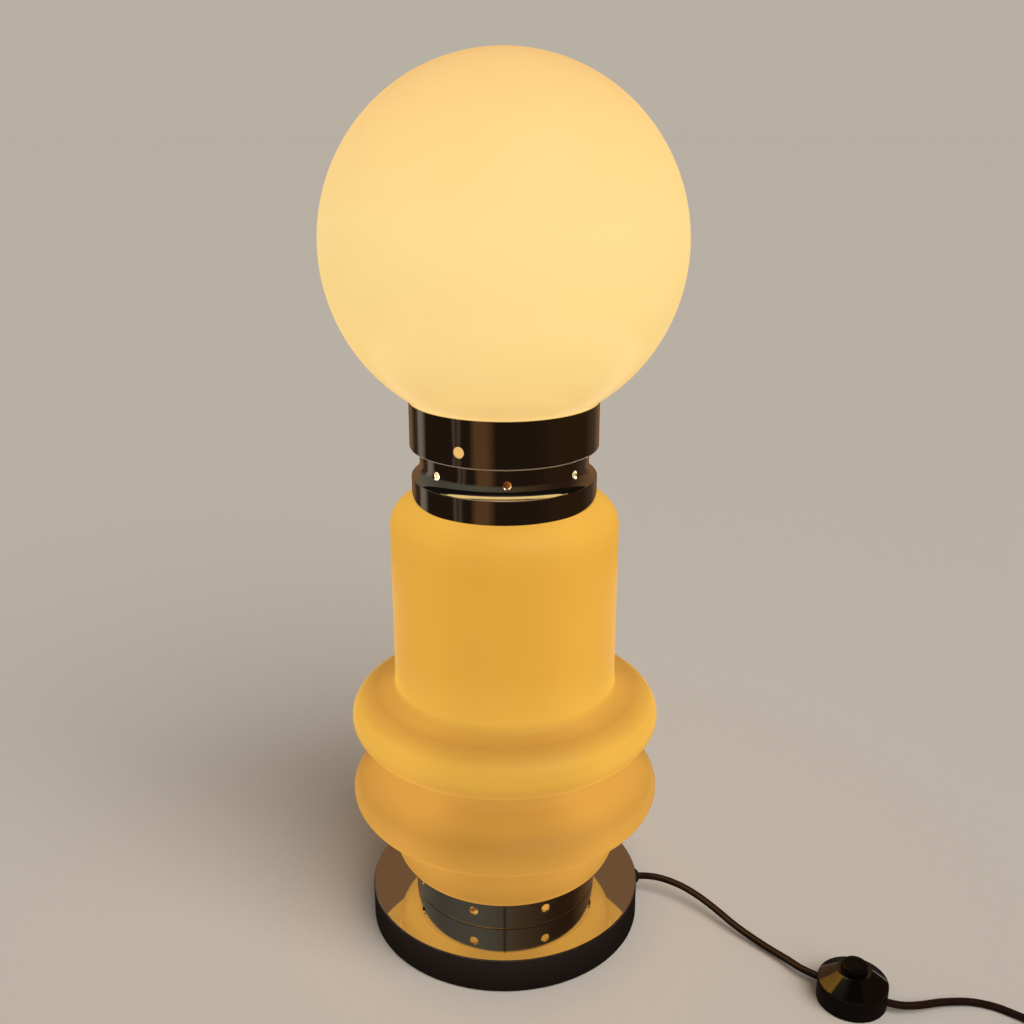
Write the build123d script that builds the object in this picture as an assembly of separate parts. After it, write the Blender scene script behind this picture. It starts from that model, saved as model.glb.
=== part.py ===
"""Table lamp in opal glass and chrome: globe, collar, waist ring, bulged body, vent ring, base, foot switch.

Millimetres, +Z up, origin at the middle of the base on the floor, the front of the lamp towards -Y.
"""
import os
from math import acos, cos, degrees, hypot, pi, radians, sin, sqrt, tan

from build123d import *

# Clearances
SLIP = 0.1              # screwed or pushed-in fit, per side
LOOSE = 0.4             # pieces that only have to pass each other, per side
LIFT_GAP = 0.3          # between the globe and the rim that it stands in

# Base
BASE_R = 106.2
BASE_H = 28.4           # floor to mirror top
BASE_WALL = 2.0
BASE_TOP = 2.5
BASE_EDGE = 1.2         # rounding of the top edge
FELT_T = 2.0
FELT_PROUD = 1.0        # felt stands out below the rim
PLATE_T = 2.5
BALLAST_BORE_R = 60.0
SCREW_COUNT = 3
SCREW_CIRCLE_R = 82.0
SCREW_R = 2.5
SCREW_HEAD_R = 4.5
SCREW_HEAD_H = 2.0
SCREW_L = 12.0

# Stem and its hardware
STEM_R = 5.0
STEM_BORE_R = 3.9
STEM_TAIL = 1.5         # thread past the lowest nut
NUT_FLATS = 14.0
NUT_T = 4.0
WASHER_R = 9.0
WASHER_T = 1.2
STEM_TOP_GRIP = 9.0     # thread inside the upper lampholder

# Vent ring under the body
RING_R = 71.4
RING_WALL = 1.5
RING_EDGE = 0.8         # rounding at its foot
RING_H = 21.7
RING_LIP = 2.5          # wall that stands above the shelf
SHELF_T = 1.5
SHELF_W = 7.5
RING_HOLES = 8
RING_HOLE_R = 3.5
RING_HOLE_LAND = 0.5    # wall between a hole and the shelf
RING_TURN = 25.8        # angle of the first hole from the front, degrees

# Body glass, outer sizes
GLASS_T = 3.5
GASKET_T = 1.0
TUBE_R = 83.3
STEP_PROUD = 3.4        # step and bulges beyond the tube
STEP_ROUND = 20.0
STEP_RISE = 22.4        # glass foot to the widest point of the step
HEEL_TURN = -70.0       # where the inside of the step runs into the foot, degrees
BULGE_HALF_H = 22.35
LOW_BULGE_PROUD = 34.6
LOW_BULGE_RISE = 69.0   # glass foot to the middle of the lower bulge
HIGH_BULGE_PROUD = 33.3
HIGH_BULGE_RISE = 131.3
BULGE_CORNER = 6.0      # soft hollow where a bulge leaves the tube
BODY_H = 302.2
SHOULDER = 19.8
MOUTH_LAND = 13.5       # flat top between the shoulder and the mouth
RIM_ROUND = 1.0

# Waist ring, cap disc and spacer
SHEET_T = 1.5           # spun chromed sheet of waist ring and collar
CAP_DISC_T = 2.0
CAP_VENTS = 6
CAP_VENT_R = 8.0
CAP_VENT_CIRCLE_R = 33.0
WAIST_SET_IN = 16.6     # band inside the tube of the body glass
WAIST_BAND_H = 17.0
WAIST_NECK_IN = 6.0     # neck inside the band
WAIST_FLARE_RISE = 3.8
WAIST_FLARE_R = 11.5
WAIST_EDGE = 0.9
WAIST_H = 38.5
WAIST_GAP = 0.6         # band to the top of the body glass
WAIST_HOLES = 7
WAIST_HOLE_R = 3.0
WAIST_HOLE_DROP = 11.9  # below the top of the waist ring
WAIST_TURN = 2.0
SPACER_R = 9.0

# Globe and its collar
COLLAR_PROUD = 0.9      # collar beyond the waist band
COLLAR_H = 33.7
COLLAR_EDGE = 1.2
COLLAR_HOLES = 3
COLLAR_HOLE_R = 4.0
COLLAR_HOLE_RISE = 10.9
COLLAR_TURN = -26.4
SEAT_T = 2.0
SEAT_W = 7.7
GLOBE_R = 125.0
GLOBE_T = 3.5
NECK_PLAY = 1.0         # globe neck to collar wall, per side
NECK_ROUND = 1.5

# Lamp in the globe
HOLDER_R = 19.5
HOLDER_WALL = 2.3
HOLDER_BASE_R = 13.0
HOLDER_BASE_H = 6.0
HOLDER_CONE_H = 8.0
HOLDER_FLOOR = 20.0     # foot of the holder to the seat of its insert
HOLDER_H = 50.0
HOLDER_EDGE = 1.0
HOLDER_SHOULDER = 2.0
WIRE_HOLE_R = 3.0
INSERT_T = 3.4
INSERT_FLOOR = 5.0
BIG_CAP_R = 13.1
BIG_CAP_L = 25.0
BIG_BALL_R = 30.0
BIG_FLARE_R = 30.0
BIG_NECK_L = 8.0
BULB_T = 1.0

# Lamps in the body
LAMP_COUNT = 3
LAMP_CIRCLE_R = 38.0
LAMP_TURN = 60.0        # the front of the body lies between two lamps
BRACKET_RISE = 37.6     # mirror top to the underside of the bracket
BRACKET_T = 2.0
BRACKET_HUB_R = 16.0
BRACKET_ARM_W = 14.0
BRACKET_PAD_R = 14.0
SPIGOT_R = 5.0
SPIGOT_L = 3.0          # below the bracket
SMALL_HOLDER_R = 12.5
SMALL_HOLDER_H = 40.0
SMALL_HOLDER_EDGE = 1.5
SMALL_CAP_R = 7.0
SMALL_CAP_L = 20.0
SMALL_BALL_R = 22.5
SMALL_FLARE_R = 15.0
SMALL_NECK_L = 2.0
LEAD_R = 1.6
LEAD_BEND = 6.0
LEAD_DROP = 12.0        # bracket underside to the leads

# Cord, its way into the base, and the wiring there
CORD_R = 2.7
CORD_TURN = 6.0         # direction of the cord outlet, degrees from +X towards +Y
CORD_Z = 16.0
GROMMET_R = 4.8
GROMMET_LIP_R = 6.5
GROMMET_LIP_T = 1.5
GROMMET_NOSE = 2.5
GROMMET_NOSE_R = 3.9
GROMMET_EDGE = 0.6
PASSAGE_R = 7.5         # way through the ballast
BLOCK_L = 24.0
BLOCK_W = 18.0
BLOCK_H = 15.5
BLOCK_OUT = 52.0        # axis of the lamp to the outer face of the terminal block
BLOCK_WELL_R = 2.5
BLOCK_WELL_DEPTH = 6.0
BLOCK_POLES = 3.0       # half the distance between the wells, along the block
CLAMP_L = 5.0
CLAMP_W = 16.0
CLAMP_OVER = 2.5        # strap above the cord
CLAMP_STANDOFF = 1.5    # terminal block to clamp
BEND_SHARE = 0.45       # share of a run that each of its bends takes
OUTLET_RUN = 15.0       # straight cord at the base, before and after the switch, and at the coil
SWITCH_RUN = 14.0
SWITCH_EXIT_RUN = 9.0
COIL_RUN = 19.0
RISER_R = 2.0
RISER_Z = 8.0
RISER_BEND = 8.0

# Foot switch
SWITCH_X = 254.0
SWITCH_Y = -112.4
SWITCH_TURN = -33.0     # direction of its cords, degrees from +X
SWITCH_R = 25.2
SWITCH_WALL = 2.0
SWITCH_LIFT = 0.6       # rim of the cover above the floor
SWITCH_BAND_H = 16.6
SWITCH_TOP_R = 12.3
SWITCH_H = 26.2
SWITCH_EDGE = 1.4
SWITCH_CORD_Z = 8.0
SOLE_T = 3.0
SOLE_EDGE = 0.8
PEDESTAL_R = 7.0
PEDESTAL_H = 7.0
POST_R = 3.2
POST_H = 5.0
BUTTON_R = 9.4
BUTTON_PROUD = 5.4
BUTTON_EDGE = 2.5
BUTTON_CEILING = 6.0    # top of the button to the seat of its spring
BUTTON_BORE_R = 7.0
BUTTON_SKIRT = 11.0     # part of the button inside the cover
BUTTON_FLANGE_R = 11.2
BUTTON_FLANGE_T = 2.0
BUTTON_TRAVEL = 4.0
CONTACT_R = 13.0
CONTACT_BORE_R = 6.2
CONTACT_T = 1.0
TERMINAL_W = 9.0
TERMINAL_IN = 9.0       # switch axis to the near and far faces of a terminal
TERMINAL_OUT = 22.0
SPRING_R = 4.6
SPRING_WIRE_R = 0.7
SPRING_TURNS = 7
SPRING_END = 0.2        # end of the spring to its seat
BOSS_R = 3.6
BOSS_CIRCLE_R = 18.0
PIN_R = 1.5
PIN_HEAD_R = 2.8
PIN_HEAD_H = 1.6
PIN_SINK = 0.4
PIN_L = 12.0

# Coil of the length that is put away, its tie and the plug
COIL_X = 377.5
COIL_Y = -195.5
COIL_TURN = 45.0        # direction of the coil's first point from its middle
COIL_HALF_TURNS = 13
COIL_INNER_R = 23.4
COIL_GAP = 0.7          # between turns side by side
LAYER_GAP = 0.6         # between the two layers
TAIL_R = 30.0           # bend that leads the cord off the coil to the plug
TAIL_TURN = 50.0
TIE_T = 0.8
TIE_W = 8.0
TIE_SLACK = 0.6
PLUG_L = 40.0
PLUG_TAIL_W = 13.0
PLUG_HEAD_W = 28.0
PLUG_HEAD_L = 22.0
PLUG_EDGE = 3.0
PLUG_PIN_R = 2.0
PLUG_PIN_L = 19.0
PLUG_PIN_SPAN = 19.0

# Heights of the stack, floor to globe
PLATE_TOP_Z = FELT_T + PLATE_T
SHELL_UNDER_Z = BASE_H - BASE_TOP
STEM_FOOT_Z = SHELL_UNDER_Z - WASHER_T - NUT_T - STEM_TAIL
RING_TOP_Z = BASE_H + RING_H
SHELF_TOP_Z = RING_TOP_Z - RING_LIP
SHELF_UNDER_Z = SHELF_TOP_Z - SHELF_T
FOOT_Z = SHELF_TOP_Z + GASKET_T
BODY_TOP_Z = FOOT_Z + BODY_H
CAP_DISC_Z = BODY_TOP_Z + GASKET_T
CAP_DISC_TOP_Z = CAP_DISC_Z + CAP_DISC_T
WAIST_Z = BODY_TOP_Z + WAIST_GAP
WAIST_TOP_Z = WAIST_Z + WAIST_H
COLLAR_FLOOR_Z = WAIST_TOP_Z + SHEET_T
COLLAR_RIM_Z = WAIST_TOP_Z + COLLAR_H
GLOBE_FOOT_Z = COLLAR_FLOOR_Z + SEAT_T
HOLDER_Z = COLLAR_FLOOR_Z + WASHER_T + NUT_T
STEM_TOP_Z = HOLDER_Z + STEM_TOP_GRIP
BRACKET_Z = BASE_H + BRACKET_RISE
BRACKET_TOP_Z = BRACKET_Z + BRACKET_T

# Radii that follow from their neighbours
SHELL_BORE_R = BASE_R - BASE_WALL
INSERT_R = SHELL_BORE_R - LOOSE
STEM_HOLE_R = STEM_R + SLIP
RING_BORE_R = RING_R - RING_WALL
FOOT_R = RING_BORE_R - LOOSE
SHELF_R = RING_BORE_R - SHELF_W
BODY_MOUTH_R = TUBE_R - SHOULDER - MOUTH_LAND
WAIST_BAND_R = TUBE_R - WAIST_SET_IN
WAIST_NECK_R = WAIST_BAND_R - WAIST_NECK_IN
COLLAR_R = WAIST_BAND_R + COLLAR_PROUD
COLLAR_BORE_R = COLLAR_R - SHEET_T
SEAT_R = COLLAR_BORE_R - LOOSE
NECK_R = COLLAR_BORE_R - NECK_PLAY
GLOBE_Z = COLLAR_RIM_Z + sqrt((GLOBE_R + LIFT_GAP) ** 2 - COLLAR_BORE_R ** 2)

# Heights inside the foot switch
PEDESTAL_TOP_Z = SOLE_T + PEDESTAL_H
SWITCH_INNER_TOP_Z = SWITCH_H - SWITCH_WALL
BUTTON_TOP_Z = SWITCH_H + BUTTON_PROUD
FLANGE_TOP_Z = SWITCH_INNER_TOP_Z - LIFT_GAP
BUTTON_FOOT_Z = SWITCH_H - BUTTON_SKIRT
SPRING_TOP_Z = BUTTON_TOP_Z - BUTTON_CEILING
TERMINAL_TOP_Z = BUTTON_FOOT_Z - CONTACT_T - BUTTON_TRAVEL - LIFT_GAP

# Coil
CORD_D = 2 * CORD_R
COIL_STEP = (CORD_D + COIL_GAP) / 2
COIL_Z = TIE_T + SLIP + CORD_R
COIL_TOP_Z = COIL_Z + CORD_D + LAYER_GAP
COIL_OUTER_R = COIL_INNER_R + COIL_STEP * (COIL_HALF_TURNS // 2)

UPRIGHT = (Align.CENTER, Align.CENTER, Align.MIN)
NODES = {}


def keep(name, shape):
    """Put a finished piece on the list of nodes."""
    NODES[name] = shape


def turned(*corners):
    """Solid turned about Z from (radius, height, rounding) corners."""
    points = [(r, z) for r, z, _ in corners]
    roundings = [rounding for _, _, rounding in corners]
    outline = FilletPolyline(*points, radius=roundings, close=True)
    return Rot(90, 0, 0) * revolve(make_face(outline), Axis.Y)


def sleeve(outer_r, inner_r, low_z, high_z):
    """Ring, washer or tube about Z."""
    return turned((inner_r, low_z, 0), (outer_r, low_z, 0), (outer_r, high_z, 0), (inner_r, high_z, 0))


def disc(radius, low_z, high_z):
    """Solid disc about Z."""
    return turned((0, low_z, 0), (radius, low_z, 0), (radius, high_z, 0), (0, high_z, 0))


def around(turn, radius, z=0.0):
    """Place at an angle in degrees from +X, a radius and a height, with X pointing outwards."""
    return Rot(0, 0, turn) * Pos(radius, 0, z)


def from_front(turn):
    """Angle from +X of a place given by its angle from the front, positive towards +X."""
    return turn - 90


def radial_holes(count, radius, reach, z, turn):
    """Drills through a round wall, evenly spaced from an angle given from the front."""
    drill = Rot(0, 90, 0) * Cylinder(radius, reach, align=UPRIGHT)
    return [Rot(0, 0, from_front(turn) + i * 360 / count) * Pos(0, 0, z) * drill for i in range(count)]


def tube_along(path, radius):
    """Round solid swept along a path."""
    return sweep(Plane(origin=path @ 0, z_dir=path % 0) * Circle(radius), path=path)


def make_base():
    """Chromed shell with its ballast, bottom plate and felt."""
    shell = turned(
        (BASE_R, FELT_PROUD, 0), (BASE_R, BASE_H, BASE_EDGE), (STEM_HOLE_R, BASE_H, 0),
        (STEM_HOLE_R, SHELL_UNDER_Z, 0), (SHELL_BORE_R, SHELL_UNDER_Z, 0), (SHELL_BORE_R, FELT_PROUD, 0))
    outlet = Rot(0, 90, 0) * Cylinder(GROMMET_R + SLIP, 2 * BASE_WALL)
    keep("base_shell", shell - around(CORD_TURN, BASE_R - BASE_WALL / 2, CORD_Z) * outlet)

    keep("felt_pad", disc(INSERT_R, 0, FELT_T))

    shank = Pos(0, 0, FELT_T) * Cylinder(SCREW_R, SCREW_L, align=UPRIGHT)
    head = turned((0, FELT_T, 0), (SCREW_HEAD_R, FELT_T, 0), (SCREW_R, FELT_T + SCREW_HEAD_H, 0),
                  (0, FELT_T + SCREW_HEAD_H, 0))
    screw = shank + head
    sink = turned((0, FELT_T, 0), (SCREW_HEAD_R + SLIP, FELT_T, 0),
                  (SCREW_R + SLIP, FELT_T + SCREW_HEAD_H, 0), (SCREW_R + SLIP, FELT_T + SCREW_L + SLIP, 0),
                  (0, FELT_T + SCREW_L + SLIP, 0))
    spots = [around(CORD_TURN + 60 + i * 360 / SCREW_COUNT, SCREW_CIRCLE_R) for i in range(SCREW_COUNT)]
    keep("plate_screws", Compound([spot * screw for spot in spots]))

    sinks = [spot * sink for spot in spots]
    keep("base_plate", disc(INSERT_R, FELT_T, PLATE_TOP_Z) - sinks)
    passage = Rot(0, 90, 0) * Cylinder(PASSAGE_R, 2 * BASE_R)
    ballast = sleeve(INSERT_R, BALLAST_BORE_R, PLATE_TOP_Z, SHELL_UNDER_Z)
    keep("ballast_ring", ballast - sinks - around(CORD_TURN, BASE_R, CORD_Z) * passage)


def make_stem():
    """Threaded tube, its nuts and washers."""
    stem = sleeve(STEM_R, STEM_BORE_R, STEM_FOOT_Z, STEM_TOP_Z)
    lead_z = BRACKET_Z - LEAD_DROP
    keep("stem_tube", stem - radial_holes(LAMP_COUNT, LEAD_R + SLIP, 2 * STEM_R, lead_z, LAMP_TURN))

    hexagon = RegularPolygon(NUT_FLATS / 2, 6, major_radius=False) - Circle(STEM_HOLE_R)
    nut = extrude(hexagon, NUT_T)
    washer = sleeve(WASHER_R, STEM_HOLE_R, 0, WASHER_T)
    upward = [BASE_H, BRACKET_TOP_Z, COLLAR_FLOOR_Z]
    downward = [SHELL_UNDER_Z, BRACKET_Z]
    keep("stem_washers", Compound([Pos(0, 0, z) * washer for z in upward]
                                  + [Pos(0, 0, z - WASHER_T) * washer for z in downward]))
    keep("stem_nuts", Compound([Pos(0, 0, z + WASHER_T) * nut for z in upward]
                               + [Pos(0, 0, z - WASHER_T - NUT_T) * nut for z in downward]))


def make_vent_ring():
    """Chromed ring with a shelf that carries the body glass, and its gasket."""
    ring = turned(
        (RING_R, BASE_H, RING_EDGE), (RING_R, RING_TOP_Z, 0), (RING_BORE_R, RING_TOP_Z, 0),
        (RING_BORE_R, SHELF_TOP_Z, 0), (SHELF_R, SHELF_TOP_Z, 0), (SHELF_R, SHELF_UNDER_Z, 0),
        (RING_BORE_R, SHELF_UNDER_Z, 0), (RING_BORE_R, BASE_H, 0))
    hole_z = SHELF_UNDER_Z - RING_HOLE_LAND - RING_HOLE_R
    keep("vent_ring", ring - radial_holes(RING_HOLES, RING_HOLE_R, 2 * RING_R, hole_z, RING_TURN))
    keep("lower_gasket", sleeve(FOOT_R, SHELF_R, SHELF_TOP_Z, FOOT_Z))


def body_outline(shrink):
    """Half section of the body glass as edges from foot to mouth, moved inwards by a wall thickness."""
    tube_r = TUBE_R - shrink
    foot_r = FOOT_R - shrink
    step_middle = TUBE_R + STEP_PROUD - STEP_ROUND
    step_z = FOOT_Z + STEP_RISE
    step_round = STEP_ROUND - shrink
    half_h = BULGE_HALF_H - shrink
    top_z = BODY_TOP_Z - shrink
    low_turn = HEEL_TURN if shrink else -degrees(acos((foot_r - step_middle) / step_round))
    high_turn = degrees(acos((tube_r - step_middle) / step_round))
    step = CenterArc((step_middle, step_z), step_round, low_turn, high_turn - low_turn)
    edges = []
    if shrink:
        heel = (foot_r, step_z - step_round)
        edges.append(Line((foot_r, FOOT_Z), heel))
        edges.append(Line(heel, step @ 0))
    else:
        edges.append(Line((foot_r, FOOT_Z), step @ 0))
    edges.append(step)
    last = step @ 1
    for proud, rise in ((LOW_BULGE_PROUD, LOW_BULGE_RISE), (HIGH_BULGE_PROUD, HIGH_BULGE_RISE)):
        bulge_z = FOOT_Z + rise
        edges.append(Line(last, (tube_r, bulge_z - half_h)))
        edges.append(EllipticalCenterArc((tube_r, bulge_z), proud, half_h, -90, arc_size=180))
        last = (tube_r, bulge_z + half_h)
    edges.append(Line(last, (tube_r, top_z)))
    edges.append(Line((tube_r, top_z), (BODY_MOUTH_R, top_z)))
    return edges


def rim_edges(solid, radius, z):
    """Circles of a turned solid at a radius and a height."""
    return [edge for edge in solid.edges().filter_by(GeomType.CIRCLE)
            if abs(edge.radius - radius) < 0.01 and abs(edge.arc_center.Z - z) < 0.01]


def make_body_glass():
    """Blown body: cylinder with a round shoulder over two bulges and a small step."""
    outer = body_outline(0)
    inner = body_outline(GLASS_T)
    mouth = Line((BODY_MOUTH_R, BODY_TOP_Z), (BODY_MOUTH_R, BODY_TOP_Z - GLASS_T))
    foot = Line((FOOT_R, FOOT_Z), (FOOT_R - GLASS_T, FOOT_Z))
    glass = Rot(90, 0, 0) * revolve(make_face(outer + inner + [mouth, foot]), Axis.Y)
    corners = []
    for wall in (0, GLASS_T):
        for rise in (LOW_BULGE_RISE, HIGH_BULGE_RISE):
            for side in (-1, 1):
                corner_z = FOOT_Z + rise + side * (BULGE_HALF_H - wall)
                corners += rim_edges(glass, TUBE_R - wall, corner_z)
    glass = fillet(corners, BULGE_CORNER)
    glass = fillet(rim_edges(glass, TUBE_R, BODY_TOP_Z), SHOULDER)
    glass = fillet(rim_edges(glass, TUBE_R - GLASS_T, BODY_TOP_Z - GLASS_T), SHOULDER - GLASS_T)
    glass = fillet(rim_edges(glass, FOOT_R - GLASS_T, FOOT_Z), RIM_ROUND)
    keep("body_glass", glass)


def make_waist():
    """Gasket, cap disc and spacer on the body glass, and the chromed waist ring over them."""
    gasket_r = TUBE_R - SHOULDER - LOOSE
    keep("upper_gasket", sleeve(gasket_r, BODY_MOUTH_R + RIM_ROUND, BODY_TOP_Z, CAP_DISC_Z))

    disc_r = WAIST_BAND_R - SHEET_T - LOOSE
    vent = Cylinder(CAP_VENT_R, 2 * BODY_H)
    vents = [around(i * 360 / CAP_VENTS, CAP_VENT_CIRCLE_R, CAP_DISC_Z) * vent for i in range(CAP_VENTS)]
    keep("cap_disc", sleeve(disc_r, STEM_HOLE_R, CAP_DISC_Z, CAP_DISC_TOP_Z) - vents)

    under_z = WAIST_TOP_Z - SHEET_T
    keep("spacer_tube", sleeve(SPACER_R, STEM_HOLE_R, CAP_DISC_TOP_Z, under_z))

    edge_z = WAIST_Z + WAIST_BAND_H
    flare_z = edge_z + WAIST_FLARE_RISE
    band_bore = WAIST_BAND_R - SHEET_T
    neck_bore = WAIST_NECK_R - SHEET_T
    waist = turned(
        (band_bore, WAIST_Z, 0), (WAIST_BAND_R, WAIST_Z, 0), (WAIST_BAND_R, edge_z, WAIST_EDGE),
        (WAIST_NECK_R, flare_z, WAIST_FLARE_R), (WAIST_NECK_R, WAIST_TOP_Z, 0),
        (STEM_HOLE_R, WAIST_TOP_Z, 0), (STEM_HOLE_R, under_z, 0), (neck_bore, under_z, 0),
        (neck_bore, flare_z, WAIST_FLARE_R), (band_bore, edge_z, WAIST_EDGE))
    hole_z = WAIST_TOP_Z - WAIST_HOLE_DROP
    keep("waist_ring", waist - radial_holes(WAIST_HOLES, WAIST_HOLE_R, 2 * WAIST_BAND_R, hole_z, WAIST_TURN))


def make_globe():
    """Collar with its rubber seat, and the globe that stands in it."""
    collar = turned(
        (STEM_HOLE_R, WAIST_TOP_Z, 0), (COLLAR_R, WAIST_TOP_Z, COLLAR_EDGE), (COLLAR_R, COLLAR_RIM_Z, 0),
        (COLLAR_BORE_R, COLLAR_RIM_Z, 0), (COLLAR_BORE_R, COLLAR_FLOOR_Z, 0),
        (STEM_HOLE_R, COLLAR_FLOOR_Z, 0))
    hole_z = WAIST_TOP_Z + COLLAR_HOLE_RISE
    holes = radial_holes(COLLAR_HOLES, COLLAR_HOLE_R, 2 * COLLAR_R, hole_z, COLLAR_TURN)
    keep("globe_collar", collar - holes)
    keep("globe_seat", sleeve(SEAT_R, SEAT_R - SEAT_W, COLLAR_FLOOR_Z, GLOBE_FOOT_Z))

    neck_bore = NECK_R - GLOBE_T
    inner_r = GLOBE_R - GLOBE_T
    outer_turn = -degrees(acos(NECK_R / GLOBE_R))
    inner_turn = -degrees(acos(neck_bore / inner_r))
    outer = CenterArc((0, GLOBE_Z), GLOBE_R, outer_turn, 90 - outer_turn)
    inner = CenterArc((0, GLOBE_Z), inner_r, inner_turn, 90 - inner_turn)
    section = make_face([
        outer, inner, Line(outer @ 1, inner @ 1), Line(outer @ 0, (NECK_R, GLOBE_FOOT_Z)),
        Line((NECK_R, GLOBE_FOOT_Z), (neck_bore, GLOBE_FOOT_Z)), Line((neck_bore, GLOBE_FOOT_Z), inner @ 0)])
    globe = Rot(90, 0, 0) * revolve(section, Axis.Y)
    neck_z = GLOBE_Z - sqrt(GLOBE_R ** 2 - NECK_R ** 2)
    keep("globe_glass", fillet(rim_edges(globe, NECK_R, neck_z), NECK_ROUND))


def bulb_section(neck_r, ball_r, flare_r, low_z, flare_z, top_z):
    """Edges of a round bulb's half section, from its neck to its tip."""
    ball_z = top_z - ball_r
    flare_x = neck_r + flare_r
    lean = degrees(acos(flare_x / (flare_r + ball_r)))
    flare = CenterArc((flare_x, flare_z), flare_r, 180 - lean, lean)
    ball = CenterArc((0, ball_z), ball_r, -lean, 90 + lean)
    return [Line((neck_r, low_z), (neck_r, flare_z)), flare, ball]


def make_bulb(cap_r, cap_l, neck_l, ball_r, flare_r):
    """Lamp standing on z=0: its screw cap, and a thin-walled bulb on the cap."""
    tip_h = cap_l / 5
    cap = turned((0, 0, 0), (cap_r / 3, 0, 0), (cap_r, tip_h, 0), (cap_r, cap_l, 0), (0, cap_l, 0))
    flare_z = cap_l + neck_l
    ball_z = flare_z + sqrt((flare_r + ball_r) ** 2 - (cap_r + flare_r) ** 2)
    top_z = ball_z + ball_r
    outer = bulb_section(cap_r, ball_r, flare_r, cap_l, flare_z, top_z)
    inner = bulb_section(cap_r - BULB_T, ball_r - BULB_T, flare_r + BULB_T, cap_l, flare_z, top_z - BULB_T)
    ends = [Line((cap_r, cap_l), (cap_r - BULB_T, cap_l)), Line((0, top_z), (0, top_z - BULB_T))]
    bulb = Rot(90, 0, 0) * revolve(make_face(outer + inner + ends), Axis.Y)
    return cap, bulb


def make_globe_lamp():
    """Lampholder on the stem, its ceramic insert, and the lamp in the globe."""
    cone_z = HOLDER_Z + HOLDER_BASE_H
    shell_z = cone_z + HOLDER_CONE_H
    floor_z = HOLDER_Z + HOLDER_FLOOR
    mouth_z = HOLDER_Z + HOLDER_H
    bore_r = HOLDER_R - HOLDER_WALL
    thread_z = STEM_TOP_Z + LOOSE
    keep("globe_lampholder", turned(
        (STEM_HOLE_R, HOLDER_Z, 0), (HOLDER_BASE_R, HOLDER_Z, HOLDER_EDGE),
        (HOLDER_BASE_R, cone_z, HOLDER_EDGE), (HOLDER_R, shell_z, HOLDER_SHOULDER),
        (HOLDER_R, mouth_z, HOLDER_EDGE), (bore_r, mouth_z, 0), (bore_r, floor_z, 0),
        (WIRE_HOLE_R, floor_z, 0), (WIRE_HOLE_R, thread_z, 0), (STEM_HOLE_R, thread_z, 0)))

    insert_r = bore_r - SLIP
    socket_z = floor_z + INSERT_FLOOR
    socket_r = insert_r - INSERT_T
    keep("globe_holder_insert", turned(
        (0, floor_z, 0), (insert_r, floor_z, 0), (insert_r, mouth_z - LOOSE, 0),
        (socket_r, mouth_z - LOOSE, 0), (socket_r, socket_z, 0), (0, socket_z, 0)))

    cap, bulb = make_bulb(BIG_CAP_R, BIG_CAP_L, BIG_NECK_L, BIG_BALL_R, BIG_FLARE_R)
    keep("globe_lamp_cap", Pos(0, 0, socket_z) * cap)
    keep("globe_lamp_bulb", Pos(0, 0, socket_z) * bulb)


def make_body_lamps():
    """Three-armed bracket on the stem with an upright lampholder and lamp on each arm."""
    turns = [from_front(LAMP_TURN) + i * 360 / LAMP_COUNT for i in range(LAMP_COUNT)]
    plate = Circle(BRACKET_HUB_R)
    for turn in turns:
        plate += Rot(0, 0, turn) * Pos(LAMP_CIRCLE_R / 2, 0) * Rectangle(LAMP_CIRCLE_R, BRACKET_ARM_W)
        plate += Rot(0, 0, turn) * Pos(LAMP_CIRCLE_R, 0) * Circle(BRACKET_PAD_R)
    plate -= Circle(STEM_HOLE_R)
    plate -= [Rot(0, 0, turn) * Pos(LAMP_CIRCLE_R, 0) * Circle(SPIGOT_R + SLIP) for turn in turns]
    keep("lamp_bracket", Pos(0, 0, BRACKET_Z) * extrude(plate, BRACKET_T))

    socket_z = SMALL_HOLDER_H - SMALL_CAP_L
    socket_r = SMALL_CAP_R + LOOSE
    spigot_z = -BRACKET_T - SPIGOT_L
    holder = turned(
        (0, spigot_z, 0), (SPIGOT_R, spigot_z, 0), (SPIGOT_R, 0, 0),
        (SMALL_HOLDER_R, 0, SMALL_HOLDER_EDGE), (SMALL_HOLDER_R, SMALL_HOLDER_H, SMALL_HOLDER_EDGE),
        (socket_r, SMALL_HOLDER_H, 0), (socket_r, socket_z, 0), (0, socket_z, 0))
    cap, bulb = make_bulb(SMALL_CAP_R, SMALL_CAP_L, SMALL_NECK_L, SMALL_BALL_R, SMALL_FLARE_R)
    for number, turn in enumerate(turns, 1):
        arm = around(turn, LAMP_CIRCLE_R, BRACKET_TOP_Z)
        keep(f"body_lampholder_{number}", arm * holder)
        keep(f"body_lamp_cap_{number}", arm * Pos(0, 0, socket_z) * cap)
        keep(f"body_lamp_bulb_{number}", arm * Pos(0, 0, socket_z) * bulb)

    lead_z = BRACKET_Z - LEAD_DROP
    route = [(STEM_BORE_R, 0, lead_z), (LAMP_CIRCLE_R, 0, lead_z), (LAMP_CIRCLE_R, 0, BRACKET_Z - SPIGOT_L)]
    lead = tube_along(FilletPolyline(*route, radius=LEAD_BEND), LEAD_R)
    keep("holder_leads", Compound([Rot(0, 0, turn) * lead for turn in turns]))


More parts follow.
